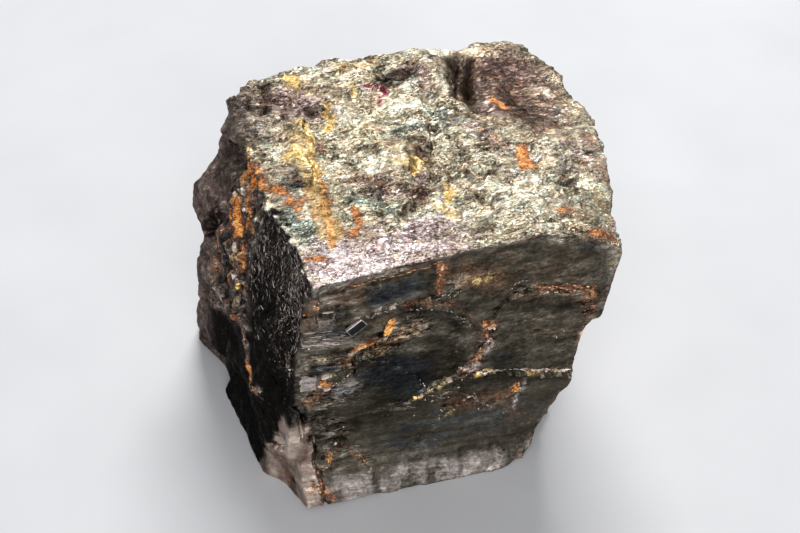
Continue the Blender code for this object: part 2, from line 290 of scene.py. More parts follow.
def front_relief(places):
    """How far each place on the front stands forward of the cleavage plane."""
    plain = np.stack([places[:, 0], np.zeros(len(places)), places[:, 2]], axis=1)
    across = plain[:, [0, 2]] + 0.60 * wander(plain, 3.0, (31, 41), 3)
    height = np.zeros(len(places))
    for rise, reach, course in FRONT_STEPS:
        distance, side = along(across, course)
        height += rise * ramp(side, -0.10, 0.10) * np.exp(-distance / reach)
    height -= strokes(across, FRONT_CRACKS)
    height += strokes(across, FRONT_RIDGES)
    torn = front_tears(across)
    height += 0.20 * lumps(plain, 7.5, 71, 3) * (0.5 + 0.5 * torn)
    plates = np.stack([across[:, 0], across[:, 0] * 0, across[:, 1] + 0.10 * across[:, 0]], axis=1)
    height += (0.10 + 0.30 * torn) * grains(plates, (5.0, 1, 1.9), 77, 0.7)
    height += (0.03 + 0.16 * torn) * grains(plates, (1.7, 1, 0.9), 81, 1.0)
    shelves = lumps(plates, (9.0, 1, 2.4), 85, 2) * 4
    steps = np.floor(shelves) + ramp(shelves - np.floor(shelves), 0.42, 0.58)
    height += 0.13 * steps * (0.25 + 0.75 * torn)
    height += 0.05 * lumps(plain, (9.0, 1, 0.8), 51, 2)
    flutes = ramp(places[:, 2], 9.5, 6.5) * np.abs(lumps(plain, (2.6, 1, 12.0), 101, 1))
    return height - 0.9 * flutes


fore = level > 0.01
target = FRONT_Y - foot_of_front(places[fore, 0], places[fore, 2]) - front_relief(places[fore])
places[fore, 1] = places[fore, 1] + level[fore] * (target - places[fore, 1])

# Everything else is broken: wavy ledges along X on the top, flat dark cleavages and crags on the
# left, weathered lobes at the left back corner, blocky breaks elsewhere
ahead = 1 - level
skyward = ramp(facing[:, 2], 0.35, 0.7) * ramp(places[:, 2], 52, 60)
foot = ramp(places[:, 2], 0.2, 2.5)

# Ledges as on the front, and pits and ridges as its cracks, with each course as X and Y
TOP_LEDGES = (
    (1, 5, ((-17, -18), (-12, -20.3), (-7, -21.3), (-3, -20), (1, -19.5), (6, -21))),
    (0.7, 4, ((-30, -3), (-22, -6), (-12, -9), (-4, -10), (2, -13))),
    (-0.9, 3, ((-2, 27), (3, 27.5), (9, 26.5))),
    (0.7, 5, ((3, -14), (12, -15), (22, -18), (31, -19), (40, -19))),
    (0.7, 4, ((6, 2), (12, -1), (18, -3), (26, -8))),
    (0.6, 3.5, ((-16, 3), (-8, 3), (0, 4), (6, 7))),
    (0.6, 3.5, ((-12, 12), (-4, 10), (4, 10), (9, 12))),
    (0.5, 3, ((-28, -24), (-18, -25), (-8, -27), (6, -29), (20, -31), (34, -31))),
)
TOP_PITS = (
    (3.6, 0.7, ((22.2, 30), (22, 20), (21.6, 8))),
    (1.6, 0.8, ((13, 13), (17, 7), (21, 2))),
    (2, 1.3, ((4.5, 1), (1.5, -7), (0.5, -13), (-1, -18))),
    (1.2, 0.7, ((-21.5, 0), (-21.5, -8), (-22.5, -18))),
    (2.2, 1.3, ((-26, 31), (-28.5, 24))),
    (1.6, 1.1, ((-17.5, 20.5), (-14, 17))),
    (2, 0.8, ((-17, -12), (-11, -14.5))),
    (2, 0.7, ((-7, -16), (-3, -16.5))),
    (1.2, 1.2, ((3, 28.5), (9, 28))),
)
TOP_RIDGES = (
    (0.9, 1, ((-19.7, 17), (-19.2, 13), (-19.2, 8), (-20.4, 4))),
    (1.4, 0.6, ((11.5, 14), (6.5, 3), (4.5, -9), (3.5, -16))),
    (2.4, 0.7, ((-8, -4), (-1, -6))),
    (3, 0.8, ((2, 20), (7, 17), (10, 20))),
    (3, 0.6, ((10, 0), (16, 0))),
)
# The smoother patches of the top: half width, how smooth, and the course
TOP_CALM = (
    (6, 1, ((22.5, 31), (22, 9))),
    (16, 1, ((33, 22), (34, 8))),
    (2.6, 0.7, ((3, 28), (9, 27.5))),
    (3, 0.5, ((2, -2), (0, -14))),
)


def top_relief(places):
    flat = np.stack([places[:, 0], places[:, 1], np.zeros(len(places))], axis=1)
    bent = flat[:, :2] + 1.2 * wander(flat, 5.0, (111, 121), 2)
    height = np.zeros(len(places))
    for rise, reach, course in TOP_LEDGES:
        distance, side = along(bent, course)
        height += rise * ramp(side, -0.3, 0.3) * np.exp(-distance / reach)
    height += strokes(bent, TOP_RIDGES) - strokes(bent, TOP_PITS)
    folds = np.stack([bent[:, 0], bent[:, 1] + 0.12 * bent[:, 0], flat[:, 2]], axis=1)
    calm = 1 - 0.45 * ramp(lumps(flat, 9.0, 181, 2), 0.0, 0.7)
    calm *= 1 - 0.7 * strokes(flat[:, :2], TOP_CALM)
    height += 0.55 * (0.4 + 0.6 * calm) * lumps(folds, (9.0, 4.4, 4), 131, 2)
    height += 0.85 * calm * (1 - np.abs(lumps(folds, (5.5, 1.9, 4), 141, 2)))
    height += 0.42 * calm * (1 - np.abs(lumps(folds, (2.8, 1.0, 4), 161, 1)))
    height += 0.14 * calm * grains(folds, (2.6, 1.3, 3), 151, 0.9)
    return height


# The ledge under the crags, as Y and height, and its knobs with each course as X, Y and height
LEDGE_LINE = ((-40, 34), (-8, 33), (-3.5, 31), (7, 26.5), (15, 24.5), (40, 20))
KNOBBLY_LEDGE = (
    (2, 1, ((-46, 15, 24.5), (-43.5, 7, 26.5), (-40.5, -3.5, 31), (-39.5, -8, 33))),
    (1.3, 1, ((-41, -6, 30), (-41, -9, 27), (-41.2, -12, 23))),
    (1.6, 1, ((-41.2, -12, 22.8), (-41.4, -16, 22.4), (-41, -22, 25))),
)


def left_zones(places):
    """Which kind of break each place on the left side shows: flat, needled, lobed or craggy."""
    x, y, z = places.T
    lobed = ramp(y, 9, 15) * ramp(x + 5.0 * lumps(places, 7.0, 291, 3), -20, -33)
    above = z - reading(y, LEDGE_LINE)
    cleaved = np.maximum(ramp(y, -5, -9), ramp(above, 0.3, -1.2) * ramp(y, 18, 14))
    cleaved = cleaved * ramp(x, -29, -31) * (1 - lobed)
    ledge = strokes(places, KNOBBLY_LEDGE)
    needled = ramp(z, 33, 42) * ramp(y, -6, -10) * ramp(x, -27, -30)
    crag = ramp(x, -28, -32) * ramp(y, -9, -4) * ramp(above, -0.6, 1.6) * (1 - lobed)
    return lobed, cleaved * (1 - ledge), needled, crag, ledge


# Holes among the crags and gaps round the brown block: half width, depth, and the course
LEFT_HOLES = (
    (2, 2.6, ((-36, 1, 61), (-37, -0.5, 55))),
    (1.5, 2, ((-37.5, -1.5, 54), (-38.6, -4, 46))),
    (2.2, 3.2, ((-41.5, 6.5, 44.5), (-41.5, 5.5, 40.5))),
    (2.2, 3, ((-41.5, 16.5, 49.5), (-42.5, 16, 44))),
    (1.9, 2.6, ((-42, 5, 36), (-41.5, 3, 31.5))),
    (1.8, 2.4, ((-36.5, 13, 59), (-38, 12.5, 55))),
    (1.5, 2, ((-39.5, -3.5, 41), (-40.5, -6, 33))),
    (2.2, 1.8, ((-35, 26, 63), (-34.5, 18, 62), (-34.5, 12, 65))),
)
BLOCK_GAPS = (
    (0.9, 1.6, ((-31.6, -34.6, 25), (-31.8, -34, 17), (-32.6, -33.4, 13.5))),
    (0.8, 1.2, ((-33.4, -32.8, 13), (-37, -29.6, 12), (-39, -25, 11))),
    (0.7, 1, ((-32.4, -34.2, 5.5), (-35, -32.6, 4), (-38, -29, 4.5))),
    (0.6, 0.9, ((-36.4, -31, 12), (-36.2, -31.4, 4.5))),
)


def broken_relief(places):
    lobed, cleaved, needled, crag, ledge = left_zones(places)
    rough = (1 - 0.8 * lobed) * (1 - 0.85 * cleaved)
    height = 0.45 * lumps(places, 4.5, 201, 3) * (1 - 0.6 * cleaved)
    height += (0.9 + 1.1 * crag) * rough * grains(places, (4.0, 4.0, 5.5), 211)
    height += (0.45 + 0.65 * crag) * rough * grains(places, (1.5, 1.5, 2.2), 231)
    height += 0.5 * lobed * lumps(places, 3.2, 241, 2) + 0.9 * lobed * lumps(places, 7.0, 245)
    right_side = ramp(places[:, 0], 24, 32) * ramp(places[:, 1], -30, -20)
    behind = np.maximum(ramp(places[:, 1], 18, 30), right_side)
    behind *= 1 - lobed
    blocky = places + 1.5 * lumps(places, 6.0, 283, 2)[:, None]
    height += 0.85 * behind * grains(blocky, (9.0, 9.0, 7.0), 281, 1.3)
    height += 0.9 * ledge * grains(places, (2.0, 2.0, 1.4), 247) + 0.6 * ledge
    warped = places + 0.8 * wander(places, 2.5, (251, 253, 255), 2)
    height -= strokes(warped, LEFT_HOLES) + strokes(warped, BLOCK_GAPS)
    height += 0.16 * needled * lumps(places, (1.1, 1.1, 4.0), 261, 2)
    height += 0.16 * needled * grains(places, (1.3, 1.3, 3.4), 271)
    return height


up = skyward * ahead > 0.01
rest = (1 - skyward) * ahead > 0.01
outward = np.zeros(len(places))
outward[up] += (skyward * ahead)[up] * top_relief(places[up])
outward[rest] += ((1 - skyward) * ahead)[rest] * broken_relief(places[rest])
places += facing * (outward * foot)[:, None]
places[:, 2] = np.maximum(places[:, 2], 0)
put_corners(stone.data, places)

thin = stone.modifiers.new("fewer faces", "DECIMATE")
thin.ratio = STONE_TRIANGLES / (2 * len(stone.data.polygons))
settled(stone)

shape = bmesh.new()
shape.from_mesh(stone.data)
bmesh.ops.triangulate(shape, faces=shape.faces[:])
shape.to_mesh(stone.data)
shape.free()

# ------------------------------
# Where the stone is which kind of surface, where rust, gold and pale crust lie on it, and where
# shade and highlights are painted on it. Each mask is painted on the mesh as a number from 0 to 1,
# and the finish breaks it up further.
# ------------------------------
places = corners_of(stone.data)
facing = facing_of(stone.data)
bent = places + 0.6 * wander(places, 1.8, (301, 311, 321), 3)

in_front = ramp(places[:, 1], -33.4, -34.6) * ramp(front_inset(places), -0.6, 0.5)
lobed, cleaved, needled, crag, ledge = left_zones(bent)
tilt_up = facing[:, 2] + 0.30 * ramp(places[:, 1], -29, -32)
tilt_up = tilt_up - 0.6 * needled * ramp(-facing[:, 0], 0.2, 0.5)
in_top = ramp(tilt_up, 0.25, 0.55) * ramp(places[:, 2], 54, 60) * (1 - in_front) * (1 - 0.85 * lobed)
BLOCK_BACK = ((0, -21.5), (8, -22.5), (12, -25.5), (20, -29), (27, -31))
brown = ramp(bent[:, 0], -29, -31) * ramp(reading(bent[:, 2], BLOCK_BACK) - bent[:, 1], -0.6, 0.6)
brown = brown * ramp(bent[:, 2], 27, 25)
in_left = np.maximum(cleaved, needled) * ramp(-facing[:, 0], -0.2, 0.2)
in_left = in_left * (1 - in_front) * (1 - in_top) * (1 - brown)

# Stains and tints, with painted shade in the dark tables and painted highlights in the bright
# ones: half width, strength, and the course, which is X and height on the front, X and Y on the
# top, and X, Y and height on the left
FRONT_RUST = (
    (1.4, 0.75, ((-2, 67.4), (-1.9, 63.1), (-2.2, 59.8))),
    (0.9, 0.5, ((-10.1, 57.8), (-5.7, 57.6), (-0.7, 55.8), (1.5, 54.3), (4.5, 51), (6.5, 47.8))),
    (1.6, 0.75, ((8.6, 46.6), (10, 46.2), (10.6, 47))),
    (1.2, 0.6, ((9, 45), (8.8, 42.5))),
    (1.2, 0.7, ((7.6, 37.6), (6.3, 35.6))),
    (1.2, 0.5, ((6, 34.6), (3.2, 33.2))),
    (1.1, 0.55, ((20, 54.3), (24, 53.8), (27, 53.2), (30, 51.8), (33, 50.6))),
    (2.4, 0.6, ((33, 50.6), (33.4, 46.9), (33.8, 43))),
    (1, 0.6, ((-21.6, 48.7), (-19, 49.2), (-16.6, 49.4))),
    (1.2, 0.55, ((-22, 46.6), (-23.2, 43.4))),
    (1.4, 0.7, ((-30.6, 38.4), (-29, 38.6), (-27.4, 37.6))),
    (1.2, 0.6, ((-30.4, 64), (-30.2, 60.8))),
    (1.2, 0.45, ((-25.2, 18), (-22.8, 14.4), (-20, 11))),
    (1.3, 0.75, ((16.3, 25.4), (15.6, 23.6))),
    (1.2, 0.8, ((-28.3, 15.6), (-28.1, 12.6))),
    (2.2, 0.8, ((-33.7, 8.3), (-31, 6.4), (-28.5, 3))),
    (3.4, 0.22, ((-18.5, 45), (-13.5, 47.5), (-8.5, 51.5))),
    (3, 0.36, ((9.3, 46.6), (9.1, 41.1), (6.1, 34.9), (2.6, 32.3))),
    (3.5, 0.3, ((0, 66), (5, 62), (12, 58))),
    (2.6, 0.5, ((-33, 33), (-30, 35), (-27.4, 37.5))),
    (2.2, 0.36, ((-31.5, 60.8), (-31.8, 57.2))),
    (3.2, 0.36, ((2, 24.5), (8.6, 22), (13.5, 23))),
    (2.2, 0.3, ((14, 53), (26, 52), (32, 48))),
    (2.4, 0.36, ((-26, 46), (-22.5, 43))),
)
# The first three gold lines run along the edges of ledges and are partly painted highlights on those edges
FRONT_GOLD = (
    (1, 0.5, ((19.5, 28.7), (23, 27.6), (28.8, 26.4))),
    (1, 0.6, ((7.4, 31.8), (11, 31.4))),
    (0.9, 0.6, ((-7.1, 27.8), (-5, 28.7), (-2.6, 29.6), (0.7, 31.3))),
    (0.9, 0.6, ((-29.4, 40.6), (-27, 40.9))),
    (3.6, 0.16, ((-17.5, 45), (-13.5, 48), (-7.5, 52.5))),
    (1.8, 0.36, ((6, 60.6), (9, 60.4))),
    (1.2, 0.4, ((-0.8, 20.2), (0.8, 20.8))),
)
FRONT_PALE = (
    (6, 0.16, ((-30, 62), (-29, 54), (-29, 44))),
    (6, 0.14, ((-14, 64), (-22, 56), (-10, 52))),
    (0.9, 0.8, ((9.6, 41.6), (8.9, 38.4))),
    (1, 0.8, ((7.6, 34.2), (3, 33.4))),
    (1, 0.8, ((19, 26.5), (17.4, 21.8), (16.6, 17.7))),
    (0.6, 0.8, ((-34.4, 51.2), (-30, 50.8), (-26, 50.2))),
    (0.6, 0.55, ((-26, 50.2), (-21.4, 49.2))),
    (0.3, 0.75, ((-34, 52.6), (-29, 52), (-22.6, 50.9))),
    (0.22, 0.7, ((-33.8, 53.5), (-28, 53.1), (-24, 52.4))),
    (1.5, 0.42, ((-33.8, 52.8), (-28, 52.2), (-22.6, 50.9))),
    (2.6, 0.5, ((-25.8, 36), (-22, 36.4))),
    (2.2, 0.35, ((-31, 27), (-28, 22))),
    (0.3, 0.8, ((-2.4, 58.4), (1, 59.6), (2.6, 62.8))),
    (0.28, 0.6, ((0.8, 52), (3.6, 50), (5.6, 47.5))),
    (1.8, 0.45, ((-27, 63), (-23, 64))),
    (1, 0.55, ((-25.6, 62.6), (-24.6, 61.8))),
    (2, 0.45, ((3.8, 43.4), (6, 43.6))),
    (1.4, 0.35, ((-13, 25.4), (-8.6, 25.2))),
    (0.35, 0.8, ((25.6, 38), (28.2, 40.6))),
    (0.3, 0.6, ((-20.6, 43.6), (-16, 43.6), (-11.6, 45), (-6.8, 48.4))),
    (3, 0.28, ((12, 21), (18, 13))),
)
# Dark tones of the front, and painted shade in its cracks and crevices, under its ledges and under its top
# edge
FRONT_DARK_AND_SHADE = (
    (1.3, 0.9, ((-4, 31.6), (-0.5, 32.8), (1.6, 33.6))),
    (0.9, 0.9, ((-4, 28.6), (-0.5, 29.4))),
    (1.6, 0.7, ((-30, 42.8), (-25, 42.4))),
    (0.5, 0.8, ((-24.6, 53.2), (-22.4, 51.2), (-18.4, 53.4))),
    (0.7, 0.9, ((-20.4, 47.6), (-17.6, 48.2))),
    (8, 0.9, ((-15, 39), (-10, 34))),
    (6, 0.8, ((-4, 38), (-1, 40), (-14, 28))),
    (1.4, 1.1, ((-3.5, 33.2), (0.6, 33.2), (3, 36.5))),
    (0.8, 1.1, ((-4.5, 28.2), (-1, 29.2), (2, 29.2))),
    (2.6, 0.9, ((-18, 61.8), (-12, 62.2), (-5, 62.8))),
    (1.2, 0.9, ((-24, 57.2), (-23, 60))),
    (1.4, 0.7, ((-8.5, 56), (-2, 52), (3, 46))),
    (1.4, 0.9, ((-33, 43.2), (-27, 43))),
    (1.2, 0.9, ((-23, 42.6), (-20.5, 45.6))),
    (1.8, 0.6, ((14, 51), (22, 50), (30, 47))),
    (1.2, 0.8, ((-9.5, 57.4), (-6, 57.6), (-2.8, 58.4))),
    (1.5, 0.7, ((4, 29.5), (12, 29), (20, 26))),
    (1.2, 0.8, ((9, 36), (12, 34))),
    (1.6, 0.7, ((-21, 21.5), (-22, 27.5))),
    (2.5, 0.5, ((-13, 16.5), (-4, 16))),
    (0.5, 0.9, ((-29, 64), (-22, 65.4), (-10, 66), (-3, 66.6))),
)
# Lighter areas of the front, partly a painted sheen along its leaning foot and below its top edge
FRONT_BRIGHT_AND_SHEEN = (
    (6, 1, ((-31, 61), (-29, 50))),
    (5, 1.1, ((-32, 46), (-28, 38), (-23, 35))),
    (6, 0.7, ((-24, 62), (-8, 60))),
    (6, 0.6, ((-6, 52), (-14, 47))),
    (9, 1.1, ((-24, 12), (12, 14))),
    (5, 0.9, ((-8, 46), (4, 44))),
)
FRONT_WARM = (
    (9, 0.45, ((6, 62), (30, 60))),
    (4, 0.6, ((14, 22), (18, 14))),
    (6, 0.9, ((4, 63), (10, 60))),
    (5, 0.6, ((20, 60), (28, 57))),
    (3, 0.8, ((-25, 62), (-20, 63))),
    (3.5, 1, ((-16, 46.5), (-9, 50.5))),
    (1.5, 1, ((-32, 59), (-31.8, 56.6))),
    (4, 0.8, ((2, 24), (12, 23))),
    (3, 0.7, ((-26, 45.5), (-22.5, 46))),
    (2.6, 0.7, ((-17, 54.5), (-14, 55))),
    (5, 0.4, ((18, 44), (28, 40))),
)
FRONT_COOL = (
    (3, 1, ((-16, 61), (-8, 62.5))),
    (2, 1, ((-30, 43.5), (-26, 42.5))),
    (2.4, 0.8, ((-27, 52.6), (-22, 53.5))),
    (7, 0.9, ((-15, 38), (-8, 33))),
    (3, 0.8, ((-25, 35), (-22, 36))),
    (7, 0.3, ((-14, 18), (2, 12))),
    (8, 0.5, ((-10, 14), (18, 18))),
    (2.5, 0.6, ((12, 37), (14, 34))),
)
TOP_RUST = (
    (1.1, 1, ((-16, -17.2), (-16.3, -21.4), (-17.6, -24.1))),
    (0.8, 0.8, ((-20.7, -21.9), (-19.5, -24.2))),
    (1.2, 1, ((-30.8, -2.6), (-29.4, -6.4), (-28.3, -9.5))),
    (0.8, 0.95, ((-24.8, -7.5), (-26.8, -10.7), (-28.3, -12.5))),
    (0.7, 0.8, ((-22.5, -12.5), (-25, -15))),
    (0.9, 0.95, ((-20.8, -2), (-20.5, -5), (-20.9, -9.1))),
    (1.2, 1, ((-21, -11), (-21.8, -16.8), (-22.4, -21.2))),
    (1.5, 0.95, ((-22.8, -21.7), (-23.6, -25.9))),
    (2, 1.35, ((25.4, -8), (24.9, -11.5), (24.4, -15.2))),
    (1.1, 1.2, ((25.6, 13), (27.6, 9.4))),
    (0.9, 0.9, ((26.9, -28.8), (29.7, -29.5))),
    (1.2, 0.8, ((31.9, -34.8), (34.8, -35.1), (38.6, -34))),
    (0.9, 0.9, ((-29.9, -27.8), (-25.8, -29.2))),
    (1.8, 0.95, ((-34.4, 6.9), (-33.5, 1.5), (-33, -1.6))),
    (1.6, 0.55, ((-17.6, 9.6), (-17.4, 6))),
    (0.8, 0.7, ((-4.5, 7.5), (-3, 6.8))),
    (1.8, 0.42, ((2.6, -15), (5.2, -20))),
    (1.3, 0.5, ((-11, -10.4), (-8, -12.2))),
    (4.2, 0.44, ((-27, 2), (-22, -8), (-23, -20), (-20, -25))),
    (3, 0.46, ((-33, 3), (-29, -8))),
    (4, 0.34, ((26, -27), (36, -32))),
    (2.6, 0.34, ((12, 27), (11.5, 20))),
    (2.6, 0.5, ((43, -4), (43, -18))),
    (3, 0.36, ((-16, -19), (-17, -26), (-14, -31))),
    (5, 0.26, ((-12, -30), (0, -32), (10, -33))),
    (6, 0.24, ((-26, 26), (-12, 26))),
    (5, 0.24, ((24, -14), (34, -14))),
)
TOP_GOLD = (
    (0.8, 1.3, ((-19.8, 17.4), (-19.2, 13), (-19.1, 8.4), (-20.2, 4.4))),
    (0.9, 0.9, ((-20.2, 4.4), (-20.6, 0), (-21.4, -4))),
    (2, 0.7, ((-25.7, 5.5), (-23.2, 8.6), (-23.2, 2.7))),
    (1.8, 1, ((-19.1, 34.6), (-17.2, 32.2))),
    (1.3, 0.95, ((-12.8, 20.2), (-13, 15.1), (-14.4, 12.4))),
    (1.5, 1, ((2.6, -3.3), (1.2, -6), (-0.2, -9))),
    (1.2, 0.8, ((5.2, -17), (4.9, -20.4))),
    (1.8, 0.55, ((-3, -5), (0, -8.6))),
    (1.4, 0.6, ((-5, 27), (-5.4, 24))),
    (2, 0.45, ((2, -22), (4, -26))),
    (4, 0.44, ((-22, 14), (-22, 0), (-22.5, -12), (-23, -24))),
    (4.5, 0.32, ((-18, 32), (-12, 22))),
    (5, 0.26, ((0, 20), (-8, 8), (2, -6))),
    (3, 0.28, ((-12, -19), (-9, -19))),
    (3.5, 0.3, ((-6, 33), (2, 34))),
    (3.5, 0.26, ((38, -20), (40, -28))),
)
TOP_CRIMSON = (
    (0.9, 0.9, ((-1.8, 24.9), (0, 24.2))),
    (0.9, 0.8, ((1.8, 23.6), (1.2, 21), (-0.8, 18.3))),
    (2.4, 0.34, ((-1.2, 24), (-0.5, 18.3))),
    (1, 0.4, ((-17.6, 8.6), (-17.4, 6))),
    (1.6, 0.36, ((40, -30), (42, -32))),
)
# Dark tones of the top, and painted shade in its pits and hollow, along the fronts of its ledges and on the
# shaded sides of its ridges
TOP_DARK_AND_SHADE = (
    (1.5, 1.1, ((2.6, 28.7), (5.5, 28.9), (8.8, 28))),
    (1.6, 0.55, ((2, 25.3), (7, 24.6))),
    (3.2, 1, ((21.6, 30), (21.4, 20), (21.2, 8))),
    (6, 0.5, ((25, 30), (25, 10))),
    (14, 0.85, ((33, 21), (34, 8))),
    (5, 0.3, ((24, 4), (36, 2), (42, -4))),
    (10, 0.22, ((12, -10), (24, -12))),
    (8, 0.5, ((-34, 30), (-28, 28), (-32, 18))),
    (2.2, 0.66, ((4.5, 1), (1.8, -6), (0.6, -12), (-1, -18))),
    (4.2, 0.46, ((-16, -12), (-9, -14), (-3, -16.5))),
    (3.6, 0.3, ((-14, -7), (-6, -9))),
    (0.6, 0.75, ((-14, -19.4), (-7, -21.5), (-3, -20.3), (1, -19.9))),
    (3.4, 0.3, ((-4, 4), (4, 5), (7, 6))),
    (1.6, 0.55, ((13.5, 13), (17, 7), (20.5, 3))),
    (2.4, 0.32, ((12, 12), (12, 5))),
    (2.6, 0.36, ((14, 2), (22, -6))),
    (1.8, 1.2, ((-36, 26), (-34, 20), (-34, 13))),
    (3.6, 0.5, ((-27, -3), (-24, -6))),
    (3.2, 0.5, ((-30.8, -12.3), (-28, -18), (-27, -22))),
    (1.6, 0.9, ((-24.5, 33.5), (-26, 28.5))),
    (1.6, 0.7, ((-18, 21), (-14.6, 17))),
    (2, 0.3, ((36, -8), (38, -12))),
    (2, 0.3, ((-5, -27), (0, -28))),
    (6, 0.3, ((-26, 24), (-20, 18))),
)
# Lighter patches of the top, with painted highlights along its back edge and painted glints in small bright
# spots
TOP_BRIGHT_AND_HIGHLIGHTS = (
    (16, 0.55, ((-16, 0), (-8, -10))),
    (12, 0.4, ((-28, 4), (-30, -10))),
    (12, 0.5, ((20, -22), (34, -24))),
    (8, 1, ((40, 4), (38, -20))),
    (4.5, 1, ((1, 18), (6, 16), (9, 20))),
    (3.5, 0.8, ((-9, 14), (0, 12.5))),
    (3, 1.9, ((12.5, 33), (19.5, 34.5))),
    (2.2, 2.4, ((26.5, 34), (29, 33))),
    (3, 0.7, ((-9, -4), (-1, -5))),
    (3.2, 0.4, ((10, -1), (16, 0))),
    (4, 0.3, ((8, -12), (20, -12))),
    (4.5, 0.4, ((4, -22), (20, -23), (30, -25))),
    (4, 0.9, ((-6, -24.5), (2, -24))),
    (3.5, 0.25, ((-26, -32), (-12, -31), (0, -31))),
    (1.6, 2.4, ((37.6, 16.6), (39, 13.4))),
    (1.2, 1.2, ((-33, 12.8), (-31.6, 11.5))),
    (2.4, 0.8, ((-17, 37.5), (-13, 37))),
    (2.5, 0.6, ((38, -19), (42, -23))),
    (1.6, 0.7, ((27, 3), (27.4, -2))),
)
TOP_MAUVE = (
    (7, 0.7, ((26, 28), (26, 10))),
    (9, 0.6, ((34, 24), (35, 12), (36, 3))),
    (6, 0.7, ((38, -6), (38, -14))),
    (3, 0.9, ((11, 28), (11.5, 19))),
    (2.5, 0.9, ((4, 0), (1, -8), (-1, -18))),
    (3, 0.7, ((13, 3), (22, -6))),
    (4, 0.7, ((-12, -9), (-6, -15))),
    (8, 0.8, ((-30, 28), (-20, 24))),
    (3, 0.7, ((-4, -26), (1, -27))),
    (3, 0.5, ((18, -16), (22, -18))),
    (3, 0.5, ((30, -18), (34, -20))),
)
TOP_OLIVE = (
    (3.4, 1, ((-31, 18), (-30, 14))),
    (3.6, 1, ((-30, -13), (-27.5, -20))),
    (3.6, 0.9, ((-27, -2), (-24, -6))),
    (4, 0.7, ((11, 11), (13, 4))),
    (3, 0.6, ((4, 28), (8, 26))),
    (3.5, 0.6, ((-14, -14), (-8, -19))),
    (3, 0.5, ((-2, 6), (5, 6))),
)
LEFT_RUST = (
    (2.8, 1.3, ((-33.8, 8.4, 65.6), (-33.8, 4, 65))),
    (1.6, 1, ((-34, 3, 66), (-35, 5.4, 61.7))),
    (2.1, 1.3, ((-37.2, 8.8, 56), (-38, 5.6, 51))),
    (1.4, 1, ((-38.4, 10.8, 53), (-39.4, 9.4, 48.5))),
    (2, 0.8, ((-40.5, 10, 36), (-41.5, 9, 31))),
    (2, 0.7, ((-38, 2, 52), (-39.5, -1, 44))),
    (1.3, 1.2, ((-41.1, -11.5, 23.6), (-41.3, -15, 22.4), (-41.5, -20, 24.2))),
    (1.6, 0.8, ((-34, -31, 27), (-31.5, -33.5, 26))),
    (1.8, 0.9, ((-31.5, -35, 9), (-30.5, -35.5, 4))),
    (1.4, 0.8, ((-33, -33, 3), (-36.5, -30.5, 2))),
    (1.4, 0.8, ((-39.6, 0, 41), (-40.2, -2, 37))),
    (0.8, 0.7, ((-41, -6.5, 30), (-41, -9, 27), (-41.2, -12, 23.4))),
    (7, 0.2, ((-38, 6, 58), (-41, 2, 44), (-41, 0, 33))),
    (1.2, 0.9, ((-36, 2, 57), (-38, 0.5, 50))),
    (1, 0.9, ((-41.2, 12, 47), (-42, 11, 41))),
    (2, 0.5, ((-37.5, -30.5, 8), (-34, -34, 5))),
    (3, 0.4, ((-43, 12, 38), (-42, 6, 28))),
)
LEFT_GOLD = (
    (1.2, 1.2, ((-39.6, 0.7, 47.5), (-38.6, -1.5, 46.5))),
    (0.8, 1.2, ((-40.2, -2.4, 42), (-40.2, -3, 41))),
    (1.3, 1.2, ((-32.8, 12, 67.5), (-32.4, 11, 67.8))),
    (0.7, 1.1, ((-41.3, -14.6, 22.2), (-41.4, -17, 22.8))),
    (4, 0.14, ((-38, 6, 58), (-41, 2, 44))),
)

on_top = bent[:, [0, 1]]
on_face = bent[:, [0, 2]]
rust = np.maximum(in_front * strokes(on_face, FRONT_RUST), in_top * strokes(on_top, TOP_RUST))
rust = np.maximum(rust, strokes(bent, LEFT_RUST))
gold = np.maximum(in_front * strokes(on_face, FRONT_GOLD), in_top * strokes(on_top, TOP_GOLD))
gold = np.maximum(gold, strokes(bent, LEFT_GOLD))
crimson = in_top * strokes(on_top, TOP_CRIMSON)
# A painted sheen along the foot of the front, where it leans up to the light: a pale blurred band,
# thinner and fainter to the right
painted_foot_sheen = ramp(places[:, 2] + 1.0 * lumps(places * (1, 0, 0), 2.6, 401, 3) + 0.10 * places[:, 0], 8.6, 5.2)
patchy = 1 - 0.4 * ramp(lumps(places * (1, 0, 0.3), 2.2, 405, 2), 0.2, 0.7)
painted_foot_sheen *= (ramp(places[:, 0], 26, 4) * 0.28 + 0.46) * patchy
pale = in_front * np.maximum(strokes(on_face, FRONT_PALE), painted_foot_sheen)
pale = np.maximum(pale, 0.42 * ledge * (1 - in_top))
pale = np.maximum(pale, strokes(bent, [(1.0, 1.2, ((-41.3, -14, 22.4), (-41.4, -19, 23.6)))]))
rust = np.maximum(rust, 0.34 * ledge * (1 - in_top))
# The dark mask: dark tones, and painted shade from the dark tables, in the holes and gaps of the left side
# and where its crags sink in
dark = in_top * strokes(on_top, TOP_DARK_AND_SHADE) + in_front * strokes(on_face, FRONT_DARK_AND_SHADE)
dark = np.maximum(dark, strokes(bent, LEFT_HOLES) / 2.6 + strokes(bent, BLOCK_GAPS))
on_left = (places[:, 0] < -26) & (in_front < 0.5) & (places[:, 2] > 2)
cavity_shade = np.zeros(len(places))
cavity_shade[on_left] = 0.85 * ramp(broken_relief(places[on_left]), 0.0, -1.2)
dark = np.maximum(dark, cavity_shade * crag) * (1 - 0.7 * np.minimum(strokes(bent, LEFT_RUST), 1) * crag)
